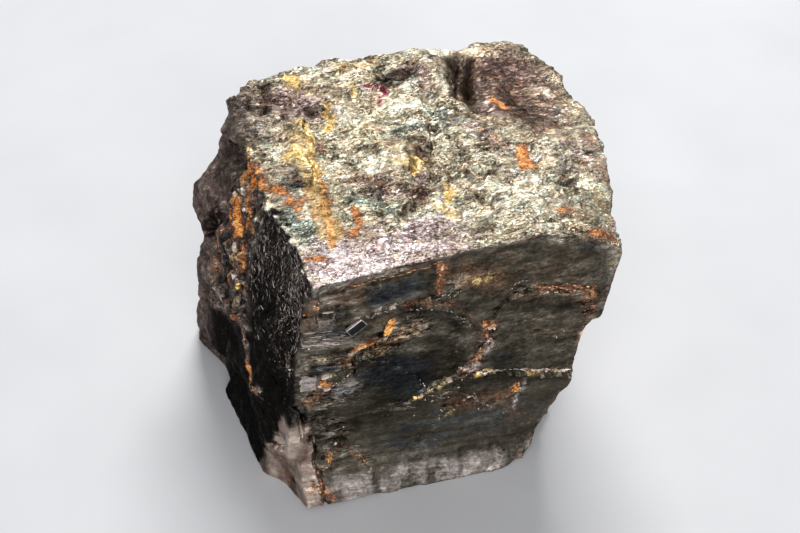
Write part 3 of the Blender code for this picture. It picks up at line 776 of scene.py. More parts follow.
# Rust and gold in blotches over the sides that face away
hidden = (1 - in_top) * (1 - in_front) * (1 - lobed)
hidden = hidden * ramp(places[:, 0], -26, -18) * ramp(places[:, 2], 68, 60)
rust = np.maximum(rust, 0.50 * hidden * ramp(lumps(places, 8.0, 701, 3), 0.25, 0.80))
gold = np.maximum(gold, 0.26 * hidden * ramp(lumps(places, 6.0, 711, 3), 0.55, 0.95))
bright = in_top * strokes(on_top, TOP_BRIGHT_AND_HIGHLIGHTS) + in_front * strokes(on_face, FRONT_BRIGHT_AND_SHEEN)
warm = in_top * strokes(on_top, TOP_MAUVE) + in_front * strokes(on_face, FRONT_WARM)
cool = in_top * strokes(on_top, TOP_OLIVE) + in_front * strokes(on_face, FRONT_COOL)
torn = in_front * front_tears(on_face) + in_top * strokes(on_top, TOP_CALM)

lilac = in_top * ramp(bent[:, 1], -21, -28) * ramp(bent[:, 0], 14, -2) * ramp(bent[:, 0], -34, -29)
BACK_LILAC = ((6, 0.6, ((-20, 27), (-14, 20))), (4, 0.5, ((30, 26), (34, 22))))
lilac = np.maximum(lilac, in_top * strokes(on_top, BACK_LILAC))


def paint(mesh, name, *masks):
    layer = mesh.attributes.new(name, "FLOAT_COLOR", "POINT")
    channels = np.zeros((len(mesh.vertices), 4))
    for index, mask in enumerate(masks):
        channels[:, index] = mask
    layer.data.foreach_set("color", channels.ravel())


def dress(piece, **masks):
    """Paint every mask that the ore's finish reads; those not given are 0."""
    none = np.zeros(len(piece.data.vertices))
    masks = {name: none + value for name, value in masks.items()}
    for layer, names in (
        ("kinds", ("top", "front", "left", "block")),
        ("stains", ("rust", "gold", "pale", "crimson")),
        ("moods", ("dark", "lilac", "bright", "lobed")),
        ("hues", ("warm", "cool", "torn", "ledge")),
    ):
        paint(piece.data, layer, *(masks.get(name, none) for name in names))


dress(
    stone, top=in_top, front=in_front, left=in_left, block=brown * (1 - in_front * 0.6),
    rust=rust, gold=gold, pale=pale, crimson=crimson, dark=dark, lilac=lilac, bright=bright,
    lobed=lobed, warm=warm, cool=cool, torn=torn, ledge=ledge,
)

# Only the flat front is shaded smooth, and even there the steps stay sharp
middles = np.empty(len(stone.data.polygons) * 3)
stone.data.polygons.foreach_get("center", middles)
middles = middles.reshape(-1, 3) / MM
flat_front = (middles[:, 1] < -34.3) & (front_inset(middles) > 0.3)
stone.data.polygons.foreach_set("use_smooth", flat_front)
shape = bmesh.new()
shape.from_mesh(stone.data)
for edge in shape.edges:
    if edge.is_manifold and edge.calc_face_angle(0) > math.radians(32):
        edge.smooth = False
shape.to_mesh(stone.data)
shape.free()

# ------------------------------
# Cleavage plates: thin flakes of the same ore that lie nearly flat on the front where it is torn.
# Each is a low many-sided slab with sloping edges, set a little proud of the face.
# ------------------------------
luck = np.random.default_rng(7)


def facing_matrix(place, outward, turn, size):
    """A matrix that lays a unit shape at a place, its Z along outward, turned, and sized, from mm."""
    outward = Vector(outward).normalized()
    side = Vector((0, 0, 1)).cross(outward)
    side = Vector((1, 0, 0)) if side.length < 0.05 else side.normalized()
    ahead_way = outward.cross(side)
    basis = Matrix((side, ahead_way, outward)).transposed().to_4x4()
    scale = Matrix.Diagonal((*(length * MM for length in size), 1))
    return Matrix.Translation(Vector(place) * MM) @ basis @ Matrix.Rotation(turn, 4, "Z") @ scale


def shaken(corners, reach):
    """Move each corner at random, by about reach in millimetres."""
    for corner in corners:
        corner.co += reach * MM * Vector(luck.normal(0, 1, 3))


def add_grain(shape, matrix, shake=None):
    """A many-sided grain in the mesh being built; it returns how many corners it has."""
    made = bmesh.ops.create_icosphere(shape, subdivisions=1, radius=0.5, matrix=matrix)
    if shake:
        shaken(made["verts"], shake)
    return len(made["verts"])


def add_slab(shape, matrix, sides, taper, shake):
    """A low slab with sloping edges and a ragged outline, in the mesh being built."""
    made = bmesh.ops.create_cone(
        shape, cap_ends=True, segments=sides, radius1=0.5, radius2=0.5 * taper, depth=1.0, matrix=matrix
    )
    rim = luck.uniform(1 - shake, 1 + shake, sides)
    back = matrix.inverted()
    for corner in made["verts"]:
        local = back @ corner.co
        angle = math.atan2(local.y, local.x) % (2 * math.pi)
        grow = rim[int(round(angle / (2 * math.pi) * sides)) % sides]
        corner.co = matrix @ Vector((local.x * grow, local.y * grow, local.z))
    return len(made["verts"])


def front_at(x, z):
    """The Y of the carved front at each X and height, in millimetres."""
    x, z = np.atleast_1d(np.asarray(x, float)), np.atleast_1d(np.asarray(z, float))
    found = FRONT_Y - foot_of_front(x, z) - front_relief(np.stack([x, np.full(len(x), FRONT_Y), z], axis=1))
    return found if len(found) > 1 else float(found[0])


def on_front(x, z, stand=0.0):
    """A place on the front, standing so far proud of it."""
    return x, front_at(x, z) - stand, z


def built(name, shape):
    mesh = bpy.data.meshes.new(name)
    shape.to_mesh(mesh)
    shape.free()
    return new_object(name, mesh)


SITES_TRIED = 5000
MOST_PLATES = 260
sites = np.stack([luck.uniform(-34, 34, SITES_TRIED), luck.uniform(2, 68, SITES_TRIED)], axis=1)
likely = front_tears(sites) * (front_inset(np.insert(sites, 1, FRONT_Y, axis=1)) > 1.2)
chosen = sites[luck.uniform(0, 1, SITES_TRIED) < 0.42 * likely ** 2][:MOST_PLATES]
in_bronze = strokes(chosen, [(4.0, 1.0, ((-17, 46), (-13, 48.5), (-8, 52)))])

shape = bmesh.new()
plate_of = []
for (x, z), bronzed in zip(chosen, in_bronze):
    small = bronzed > 0.3
    length = luck.uniform(0.7, 1.9) if small else luck.uniform(1.4, 5.2)
    tall = length * luck.uniform(0.35, 0.7) if small else luck.uniform(0.5, 1.5)
    turn = math.radians(luck.normal(28, 18) if small else luck.normal(0, 7))
    thick = luck.uniform(0.35, 0.6)
    outward = (luck.normal(0, 0.09), -1, luck.normal(0.03, 0.16 if small else 0.09))
    proud = luck.uniform(0.10, 0.42) * (0.8 if small else 1.0)
    matrix = facing_matrix(on_front(x, z, proud - thick / 2), outward, turn, (length, tall, thick))
    count = add_slab(shape, matrix, luck.integers(5, 8), 0.86, 0.22)
    plate_of += [(luck.uniform(), luck.uniform(), luck.uniform(), bronzed)] * count
plates = built("front_plates", shape)
one, two, three, bronzed = np.array(plate_of).T
plane = corners_of(plates.data)[:, [0, 2]]
dress(
    plates, front=1, torn=0.8, rust=strokes(plane, FRONT_RUST) * (0.5 + one),
    gold=strokes(plane, FRONT_GOLD) * (0.4 + two),
    pale=0.15 + 0.5 * three ** 3 + 0.6 * strokes(plane, FRONT_PALE),
    dark=0.5 * one ** 2 + 0.5 * strokes(plane, FRONT_DARK_AND_SHADE),
    warm=two * 0.7 + 0.4 * bronzed, cool=strokes(plane, FRONT_COOL) * 0.7,
)

# ------------------------------
# Crystals: the tilted bluish plate with pale edges, the orange flake beside it, and small bright
# grains on the ledges. Slabs and many-sided grains, half sunk in the stone.
# ------------------------------
shape = bmesh.new()
WIDE, TALL, THICK = 4.4, 2.7, 0.9
crystal = facing_matrix(
    on_front(-21.2, 54.2, 0.20), (0.12, -1, -0.06), math.radians(33), (WIDE, TALL, THICK)
)
bmesh.ops.create_cube(shape, size=1.0, matrix=crystal)
bmesh.ops.bevel(
    shape, geom=shape.edges[:], offset=0.16 * MM, segments=1, affect="EDGES", profile=0.5, material=-1
)
shape.normal_update()
outer = max(shape.faces, key=lambda face: face.calc_area() * (face.normal.y < -0.8))
bmesh.ops.inset_region(shape, faces=[outer], thickness=0.10 * MM, depth=-0.05 * MM)
crystal_plate = built("crystal_plate", shape)
inverse = crystal.inverted()
local = np.array([inverse @ vertex.co for vertex in crystal_plate.data.vertices])
rim = np.maximum(np.abs(local[:, 0]) * WIDE, np.abs(local[:, 1]) * TALL + (WIDE - TALL) / 2) > 2.0
dress(crystal_plate, front=1, cool=1.2, dark=np.where(rim, 0, 0.5), pale=np.where(rim, 0.9, -0.4))

shape = bmesh.new()
matrix = facing_matrix(on_front(-13.7, 52.8, 0.20), (0.15, -1, 0.25), math.radians(57), (5.0, 1.8, 0.9))
bmesh.ops.create_icosphere(shape, subdivisions=3, radius=0.5, matrix=matrix)
shaken(shape.verts, 0.12)
orange_flake = built("orange_flake", shape)
z = corners_of(orange_flake.data)[:, 2]
dress(
    orange_flake, front=0.2, rust=1.4 - 0.4 * ramp(z, 52.2, 54.0), gold=0.3,
    pale=1.3 * ramp(z, 52.4, 54.4),
)

# Blocks and crusts on the front: X, height, turn in degrees, width, height, how far it stands
# proud in millimetres, sides (4 is a sharp block), and the masks that it wears
BLOCKS = (
    (-31.8, 57.6, -4, 2.7, 3.8, 0.35, 4, {"warm": 1, "pale": 0.42, "rust": 0.22}),
    (-28, 56.4, -3, 3.3, 2.7, 0.25, 4, {"pale": 0.5, "cool": 0.2}),
    (-27.8, 58.8, 0, 3.3, 1.3, 0.12, 4, {"dark": 0.6}),
    (-24.6, 59, 0, 2, 4.8, 0.25, 4, {"dark": 0.25, "cool": 0.1}),
    (-32.4, 39.8, -2, 3.8, 4.6, 0.2, 4, {"pale": 0.85, "cool": 0.3}),
    (-28.9, 39.1, -28, 3.4, 1.5, 0.5, 5, {"rust": 1.35}),
    (-28.6, 41.3, 8, 2.2, 0.9, 0.6, 6, {"pale": 1.7, "gold": 0.25}),
    (-28.3, 37.2, 8, 2.1, 0.7, 0.45, 6, {"pale": 1.5}),
    (-31.6, 55, -6, 3.2, 0.6, 0.3, 7, {"pale": 0.95}),
    (-27.3, 59.8, -3, 3.2, 0.5, 0.35, 6, {"pale": 1, "rust": 0.2}),
    (-19.4, 48.6, 14, 5.4, 0.9, 0.45, 6, {"rust": 1.15, "warm": 1}),
    (-21.4, 47.6, 40, 2.6, 1, 0.4, 5, {"rust": 1, "warm": 1}),
    (-22.8, 46.2, 10, 1.6, 0.8, 0.35, 6, {"pale": 1, "warm": 1}),
    (-23, 43.4, 20, 1.4, 1, 0.35, 6, {"pale": 0.9, "rust": 0.3}),
    (-27.6, 45.7, 0, 1, 0.8, 0.2, 6, {"pale": 1.1, "warm": 1}),
    (0.5, 31.3, 12, 1.5, 0.8, 0.45, 6, {"pale": 1.7, "gold": 0.3}),
    (-6.2, 28.4, 55, 1.2, 0.8, 0.45, 6, {"pale": 1.6, "gold": 0.3}),
    (9.6, 31.9, 4, 2.5, 0.6, 0.35, 7, {"pale": 1.6, "gold": 0.3}),
    (5.2, 24.9, 20, 1.2, 0.6, 0.3, 6, {"pale": 1.3, "rust": 0.2}),
    (16.6, 24.3, 10, 1.6, 2.4, 0.3, 6, {"rust": 1.5}),
    (17.2, 25.4, 30, 0.8, 0.6, 0.4, 6, {"rust": 0.9, "pale": 0.9}),
    (8.6, 46.6, 15, 1.3, 1.6, 0.3, 6, {"rust": 1.35}),
    (10, 46.6, -20, 1.4, 1.6, 0.35, 6, {"rust": 1.2}),
    (9.5, 45.2, 10, 2, 0.9, 0.5, 6, {"pale": 1.4, "gold": 0.5}),
    (9, 43.4, 0, 1.1, 1.6, 0.3, 6, {"rust": 0.9, "pale": 0.3}),
    (9.3, 41.8, 0, 1, 0.8, 0.35, 6, {"pale": 1.3}),
    (9.3, 39.2, -15, 1, 2.2, 0.3, 6, {"pale": 0.9}),
    (7.3, 37, -35, 1.3, 2.6, 0.35, 6, {"rust": 1.3}),
    (7.6, 37.3, 0, 0.7, 0.5, 0.6, 6, {"pale": 1.6}),
    (5.6, 34.1, 8, 4.2, 1.2, 0.25, 7, {"pale": 0.62, "rust": 0.42, "warm": 1}),
    (-29.4, 63.4, 0, 0.5, 0.5, 0.4, 6, {"pale": 1.4, "rust": 0.5}),
    (-29.5, 61.8, 0, 0.8, 3, 0.25, 6, {"rust": 0.8}),
    (-2, 63.4, 3, 1.2, 7, 0.12, 8, {"rust": 0.62, "warm": 1}),
    (-10.9, 25.4, -8, 4.6, 1.4, 0.12, 8, {"pale": 0.45}),
)
shape = bmesh.new()
block_looks = []
for x, z, turn, width, tall, proud, sides, look in BLOCKS:
    thick = 1.0
    outward = (luck.normal(0, 0.04), -1, luck.normal(0, 0.04))
    place = on_front(x, z, proud - thick / 2)
    matrix = facing_matrix(place, outward, math.radians(turn), (width, tall, thick))
    before = len(shape.verts)
    if sides == 4:
        shaken(bmesh.ops.create_cube(shape, size=1.0, matrix=matrix)["verts"], 0.12)
    else:
        add_slab(shape, matrix, sides, 0.8, 0.2)
    block_looks += [look] * (len(shape.verts) - before)
front_blocks = built("front_blocks", shape)
worn = {
    name: np.array([look.get(name, 0) for look in block_looks])
    for name in ("rust", "gold", "pale", "warm", "cool", "dark")
}
dress(front_blocks, front=1, torn=0.3, **worn)

# Bright grains: X, Y, height, size in millimetres, and how golden rather than pale
GRAINS = (
    (-28.6, None, 40.8, 1.5, 0.9),
    (-27.2, None, 40.9, 0.9, 0.7),
    (-29.8, None, 38.4, 1.1, 0.6),
    (-6.8, None, 28.2, 1.1, 0.8),
    (-6.2, None, 29, 0.7, 0.9),
    (0.3, None, 31.2, 1.3, 0.8),
    (-0.8, None, 30.7, 0.8, 0.9),
    (8.6, None, 31.8, 0.8, 0.8),
    (9.8, None, 31.7, 0.9, 0.9),
    (5.4, None, 24.8, 0.9, 0.6),
    (28.4, None, 26.5, 1.5, 0.9),
    (26.4, None, 26.9, 0.8, 0.9),
    (24, None, 27.4, 0.7, 0.9),
    (21, None, 28.3, 0.7, 0.9),
    (-26.6, None, 18.3, 1, 0.5),
    (-24.5, None, 22.9, 0.8, 0.3),
    (-7.8, None, 22, 0.4, 0.5),
    (10.6, None, 45.2, 1.1, 0.2),
    (9.4, None, 45.6, 0.8, 0.3),
    (3.6, None, 33.2, 1, 0.1),
    (5.2, None, 33.6, 0.9, 0.1),
    (7.2, None, 34.8, 0.8, 0.3),
    (9.3, None, 39.6, 0.7, 0.1),
    (17.6, None, 24.2, 0.8, 0),
    (17, None, 20.6, 0.7, 0),
    (15.9, None, 57.2, 0.5, 0.1),
    (14.6, None, 55.8, 0.5, 0.1),
    (22.6, None, 53.6, 0.6, 0.4),
    (26, None, 53, 0.6, 0.5),
    (30.4, None, 51.4, 0.7, 0.5),
    (27.4, None, 39.9, 0.5, 0),
    (25.8, None, 38.2, 0.5, 0),
    (-30.6, None, 58.6, 0.8, 0.2),
    (-30.2, None, 62.6, 0.8, 0.4),
    (-31.9, None, 50.2, 0.5, 0),
    (-39.6, 3.2, 48, 3, 0.9),
    (-40, 2.6, 45.6, 3.2, 0.9),
    (-40.6, 0, 41.8, 2.4, 0.8),
    (-32.6, 11.6, 67.8, 2.4, 0.3),
    (-37.4, 10.6, 57.6, 1.6, 0.7),
    (-41.2, -15.6, 22.6, 1.3, 0.8),
    (-41.3, -19.6, 24.2, 1.9, 0.8),
    (-41, -12, 23.4, 0.9, 0.4),
    (-38.6, 6.8, 52.4, 1.6, 0.3),
    (-41.6, 9.4, 39, 1.8, 0.2),
    (-36.8, 3.6, 58.4, 1.4, 0.2),
    (-33.4, -30.2, 50.2, 0.6, 0.2),
    (-36, -34.6, 43.2, 0.6, 0.1),
)
shape = bmesh.new()
golden = []
for x, y, z, size, gilt in GRAINS:
    y = front_at(x, z) if y is None else y
    stretch = luck.uniform(0.5, 1.0, 3) * size
    matrix = facing_matrix((x, y, z), luck.normal(0, 1, 3), luck.uniform(0, 6), stretch)
    golden += [gilt] * add_grain(shape, matrix, 0.07 * size)
bright_grains = built("bright_grains", shape)
golden = np.array(golden)
# The grains are painted near white and lightened with the bright mask: partly their own pale colour, partly
# painted glints
dress(bright_grains, top=1, gold=0.32 * (golden > 0.65), rust=0.25 * (golden > 0.4), bright=1.0, pale=1.5)

# ------------------------------
# Seams: crusts of tiny crystals strung along the cracks and ledges of the front, rusty, golden or
# pale. Each is a row of small many-sided grains, drawn out along the crack and half sunk in it.
# ------------------------------
# Each: kind, spread across the course, length and thickness of a grain, gap between grains, and
# the course as X and height, all in millimetres
SEAMS = (
    ("rust", 0.06, 1.2, 0.26, 0.6, ((-25.6, 65.5), (-20, 66), (-14, 66.3), (-8, 66.8), (-2.5, 67.9))),
    ("brown", 0.1, 1, 0.34, 0.45, (
        (-10.1, 57.8), (-5.7, 57.6), (-0.7, 55.8), (1.5, 54.3), (4.5, 51), (6.5, 47.8)
    )),
    # This gold row, inside the arch, is a painted highlight along the ridge of the arch
    ("gold", 0.25, 0.6, 0.22, 1.2, ((-9.1, 56.8), (-5.7, 56.6), (-1, 54.6), (3.5, 50.6), (5.6, 47))),
    ("pink", 0.3, 0.7, 0.24, 0.45, ((-18.2, 56.6), (-15.6, 57.4), (-11.6, 58.3))),
    ("pale", 0.15, 0.8, 0.24, 0.9, ((-16.4, 57.2), (-14.5, 57.6), (-11.6, 58.2))),
    ("pink", 0.1, 0.9, 0.22, 0.45, ((-25.8, 59.4), (-26.2, 57), (-26.6, 55))),
    ("rust", 0.12, 0.9, 0.3, 0.5, ((-32.6, 60.2), (-30.6, 60.2))),
    ("stone", 0.05, 4.2, 0.26, 1.6, ((-31.8, 54.4), (-28, 54), (-25, 53.5))),
    ("pale", 0.05, 4.2, 0.18, 2.2, ((-31.8, 53.7), (-28, 53.3), (-24.6, 52.6))),
    ("stone", 0.05, 4.2, 0.3, 1.6, ((-31.8, 53.1), (-28, 52.6), (-24.4, 51.9))),
    ("pale", 0.05, 4, 0.18, 2.2, ((-32, 52.5), (-28, 52), (-24.2, 51.3))),
    ("stone", 0.05, 4, 0.24, 1.8, ((-32, 51.9), (-28, 51.4), (-24, 50.7))),
    ("pink", 0.08, 3.6, 0.36, 1.2, ((-32.4, 51.3), (-30, 51), (-26, 50.4))),
    ("pale", 0.08, 4, 0.3, 1.5, ((-32.2, 50.8), (-28, 50.3), (-23.4, 49.6))),
    ("stone", 0.06, 3.2, 0.24, 1.6, ((-32, 47.6), (-29, 47.2))),
    ("stone", 0.1, 2.4, 0.22, 0.9, ((-33.2, 41.9), (-31.6, 41.8))),
    ("stone", 0.1, 2.4, 0.22, 0.9, ((-33.2, 40.4), (-31.6, 40.3))),
    ("pale", 0.1, 2.4, 0.16, 1.2, ((-33.2, 38.7), (-31.6, 38.5))),
    ("stone", 0.3, 3, 0.24, 1.4, ((-30.6, 30.6), (-26, 30.2))),
    ("stone", 0.5, 3, 0.24, 1.2, ((-30, 27), (-25, 26.4))),
    ("brown", 0.5, 0.9, 0.45, 0.4, ((-22.2, 46.6), (-23.2, 44.6), (-23.4, 41.8))),
    ("pink", 0.08, 0.9, 0.26, 0.5, ((-22.7, 40.5), (-24.8, 38.8), (-27, 37.6))),
    ("brown", 0.9, 0.9, 0.5, 0.26, ((-33.4, 33.6), (-31, 34.2), (-28.6, 36.4))),
    ("orange", 0.5, 0.9, 0.5, 0.26, ((8.2, 46.8), (9.6, 46.4), (10.4, 47))),
    ("rust", 0.4, 0.8, 0.45, 0.28, ((9.2, 44.8), (9, 42.6))),
    ("pale", 0.3, 0.7, 0.28, 0.5, ((9.2, 43), (9.5, 41), (9, 38.6))),
    ("orange", 0.4, 0.9, 0.5, 0.24, ((8.4, 38.4), (7.2, 36.8), (6.2, 35.4))),
    ("pink", 0.35, 1, 0.3, 0.5, ((7.6, 34.6), (5, 34.2), (2.8, 33.4))),
    # The cream and pink rows from here to the one starting at X -5.2 run along ledges and are partly
    # painted highlights on their edges
    ("cream", 0.06, 1.6, 0.3, 0.8, ((6, 32), (8.4, 31.9), (12.4, 31.6))),
    ("pink", 0.05, 2, 0.24, 1, ((11.4, 31.6), (15.8, 30.4), (20, 29))),
    ("cream", 0.05, 2, 0.28, 1.2, ((17, 29.9), (21, 28.6), (24, 27.8))),
    ("pink", 0.06, 1.8, 0.34, 0.8, ((22, 28.2), (25, 27.4), (27, 26.9))),
    ("cream", 0.18, 1.4, 0.55, 0.5, ((27, 26.9), (28.4, 26.6), (29.6, 26.5))),
    ("cream", 0.08, 1.4, 0.28, 0.8, ((-5.2, 28.9), (-3.6, 29.7), (-2, 30.1), (-0.4, 30.7))),
    ("gold", 0.2, 0.8, 0.28, 0.55, ((-6.4, 32.2), (-5, 30.4), (-4.6, 29))),
    ("gold", 0.15, 0.8, 0.26, 0.6, ((2.2, 28.6), (3.6, 30), (4.8, 31.8))),
    ("pale", 0.08, 1.2, 0.2, 0.8, ((-4.6, 27.6), (-1.8, 26), (0.6, 25.6))),
    ("pale", 0.06, 1.2, 0.2, 0.7, ((-9.6, 25.8), (-7.6, 25))),
    ("pink", 0.3, 1, 0.26, 0.8, ((14.4, 56), (16.4, 57.6), (19.6, 57.6))),
    ("rust", 0.22, 1.2, 0.45, 0.3, ((19.8, 54.9), (23.6, 54), (27, 53.4))),
    ("rust", 0.4, 1, 0.42, 0.3, ((27, 53.4), (30, 52.3), (33.6, 51.2))),
    ("cream", 0.3, 0.9, 0.32, 0.7, ((20.4, 54.2), (25.4, 53), (30, 51.4))),
    ("brown", 0.9, 1.2, 0.45, 0.4, ((33, 50.6), (33.4, 47.4), (33.8, 44))),
    ("pale", 0.3, 0.7, 0.18, 0.5, ((-3.4, 57.4), (0, 58.6), (1.6, 60.4), (2.6, 63.2))),
    ("pale", 0.3, 0.7, 0.18, 0.55, ((0, 59.6), (2.4, 59), (0.8, 56.6))),
    ("brown", 0.2, 0.9, 0.26, 0.7, ((6, 61.4), (9.5, 60.6), (11.6, 59.2))),
    ("orange", 0.45, 0.9, 0.45, 0.3, ((16.7, 26), (16.4, 24.4), (15.8, 23))),
    ("rust", 0.2, 0.9, 0.32, 0.5, ((-25.4, 18.2), (-22.8, 14.6), (-20, 11.2), (-18.6, 8.6))),
    ("orange", 0.35, 1.1, 0.5, 0.3, ((-28.2, 15.8), (-28.3, 14), (-28, 12.4))),
    ("brown", 0.35, 0.9, 0.4, 0.5, ((-26.4, 20), (-27.2, 14), (-27.8, 9.6))),
    ("rust", 1.1, 1.2, 0.55, 0.26, ((-33.4, 7.4), (-31, 5.6), (-28.6, 3))),
    ("rust", 0.3, 0.9, 0.4, 0.5, ((-31.2, 11.4), (-28.8, 10.6))),
    ("gold", 0.3, 0.7, 0.24, 0.8, ((-2, 21.6), (0, 21.4), (1.6, 20.8))),
    ("pink", 0.6, 0.9, 0.34, 0.5, ((3, 25), (5.6, 25.6), (8.4, 21.6), (9.4, 19.6))),
)
KINDS_OF_SEAM = {
    "rust": {"rust": 1.0, "gold": 0.0, "pale": 0.0, "warm": 1.0},
    "orange": {"rust": 1.35, "gold": 0.1, "pale": 0.0, "warm": 1.0},
    "brown": {"rust": 0.42, "gold": 0.0, "pale": 0.35, "warm": 1.2},
    "gold": {"rust": 0.0, "gold": 0.26, "pale": 1.3, "warm": 0.6},
    "cream": {"rust": 0.0, "gold": 0.24, "pale": 1.5, "warm": 0.8},
    "pale": {"rust": 0.05, "gold": 0.05, "pale": 1.1, "warm": 0.2},
    "pink": {"rust": 0.30, "gold": 0.0, "pale": 1.0, "warm": 0.8},
    "stone": {"rust": 0.0, "gold": 0.0, "pale": 0.62, "warm": 0.3},
}
rows = []
for kind, spread, length, thick, gap, course in SEAMS:
    for start, end in zip(course, course[1:]):
        run = np.subtract(end, start)
        long = math.hypot(*run)
        count = max(1, round(long / gap))
        for share in (np.arange(count) + luck.uniform(0, 1, count)) / count:
            across = luck.normal(0, spread)
            x, z = np.add(start, run * share) + across * np.array([-run[1], run[0]]) / long
            turn = math.atan2(run[1], run[0]) + luck.normal(0, 0.22 * min(1, 0.5 / length))
            rows.append((x, z, turn, length * luck.uniform(0.6, 1.4), thick * luck.uniform(0.6, 1.3), kind))
seam_xz = np.array([row[:2] for row in rows])
seam_xz = seam_xz + 0.35 * wander(seam_xz @ [[1, 0, 0], [0, 0, 1]], 2.5, (501, 511), 2)
seam_y = front_at(*seam_xz.T)
shape = bmesh.new()
seam_of = []
for (x, z), y, (_, _, turn, length, thick, kind) in zip(seam_xz, seam_y, rows):
    outward = (luck.normal(0, 0.25), -1, luck.normal(0.25, 0.30))
    sunk = thick * luck.uniform(-0.10, 0.30)
    matrix = facing_matrix((x, y + sunk, z), outward, turn, (length, thick, thick * 1.2))
    count = add_grain(shape, matrix, 0.13 * thick)
    strength = luck.uniform(0.7, 1.15)
    look = [share * strength for share in KINDS_OF_SEAM[kind].values()]
    seam_of += [[*look, 0.5 * luck.uniform() ** 2]] * count
seams = built("front_seams", shape)
worn = dict(zip(("rust", "gold", "pale", "warm", "dark"), np.array(seam_of).T))
dress(seams, front=1, torn=0.6, **worn)

# ------------------------------
# Crags: angular blocks of rusty ore standing on end all down the left flank, with gaps between
# them. Each is a jagged many-sided block, more than half sunk in the stone.
# ------------------------------
CRAG_COUNT = 150
craggy = (crag > 0.45) & (facing[:, 0] < 0.1) & (places[:, 0] < -28) & (ledge < 0.5) & (in_top < 0.2)
picked = luck.choice(np.flatnonzero(craggy), CRAG_COUNT, replace=False)
shape = bmesh.new()
crag_of = []
for index in picked:
    place, outward = places[index], facing[index]
    size = luck.uniform(0.9, 2.8)
    stretch = (size * luck.uniform(0.6, 1.0), size * luck.uniform(1.2, 2.4), size * luck.uniform(0.7, 1.1))
    middle = place - outward * size * luck.uniform(0.16, 0.38)
    way = outward + luck.normal(0, 0.22, 3)
    count = add_grain(shape, facing_matrix(middle, way, luck.normal(0, 0.35), stretch), 0.10 * size)
    crag_of += [(luck.uniform(), luck.uniform(), luck.uniform())] * count
crags = built("flank_crags", shape)
one, two, three = np.array(crag_of).T
crag_places = corners_of(crags.data)
flank_rust = strokes(crag_places, LEFT_RUST)
dress(
    crags, rust=flank_rust * (0.7 + 0.6 * one) + 0.55 * (one > 0.80),
    gold=strokes(crag_places, LEFT_GOLD) * (0.6 + two) + 0.30 * (two > 0.93),
    dark=0.5 * three * (1 - np.minimum(flank_rust, 1)), pale=0.9 * (two > 0.94), warm=two,
)

# ------------------------------
# Needles: slender crystals that lie in a felt over the upper left face, thickest along its edges.
# Each is a thin spindle flat on the face, steel, pinkish or cream.
# ------------------------------
NEEDLE_COUNT = 3800
AT_A_TIME = 200
upper_left = (in_left > 0.4) & (places[:, 2] > 30) & (places[:, 1] > -35.5)
felted = np.flatnonzero(upper_left & (facing[:, 2] < 0.45))
x, y, z = places[felted].T
thick_felt = ramp(z, 32, 52) * (0.30 + 0.8 * ramp(y, -20, -31)) + 0.35 * ramp(z, 52, 60) + 0.03
thick_felt *= 0.25 + ramp(lumps(places[felted], (3.5, 3.5, 5.0), 601, 2), -0.3, 0.5)
picked = luck.choice(felted, NEEDLE_COUNT, p=thick_felt / thick_felt.sum())
swirl = lumps(places[picked], 5.0, 611)
felt = bmesh.new()
needle_of = []
# Built in small batches, because a mesh being built slows down as it grows
for start in range(0, NEEDLE_COUNT, AT_A_TIME):
    shape = bmesh.new()
    for index, bend in zip(picked[start:start + AT_A_TIME], swirl[start:]):
        long = 0.4 + 1.9 * luck.uniform() ** 1.8
        thin = luck.uniform(0.08, 0.17)
        outward = facing[index] + luck.normal(0, 0.12, 3)
        place = places[index] + luck.normal(0, 0.35, 3) + 0.04 * outward
        turn = math.radians(12 + 34 * bend + luck.normal(0, 32))
        count = add_grain(shape, facing_matrix(place, outward, turn, (thin, long, thin)))
        needle_of += [(luck.uniform(), luck.uniform())] * count
    batch = bpy.data.meshes.new("needles")
    shape.to_mesh(batch)
    shape.free()
    felt.from_mesh(batch)
    bpy.data.meshes.remove(batch)
needle_felt = built("needle_felt", felt)
glow, tint = np.array(needle_of).T
dress(
    needle_felt, left=1, pale=0.24 + 1.3 * glow ** 2.6, rust=0.30 * (tint > 0.8),
    gold=0.28 * (tint < 0.08), crimson=0.3 * (tint > 0.95),
)

# ------------------------------
# The ore's finish: metallic sulphide, shot through with crystal cells that each face their own
# way, tarnished brassy, greenish and lilac on top and stained with rust. All pieces share it.
# ------------------------------

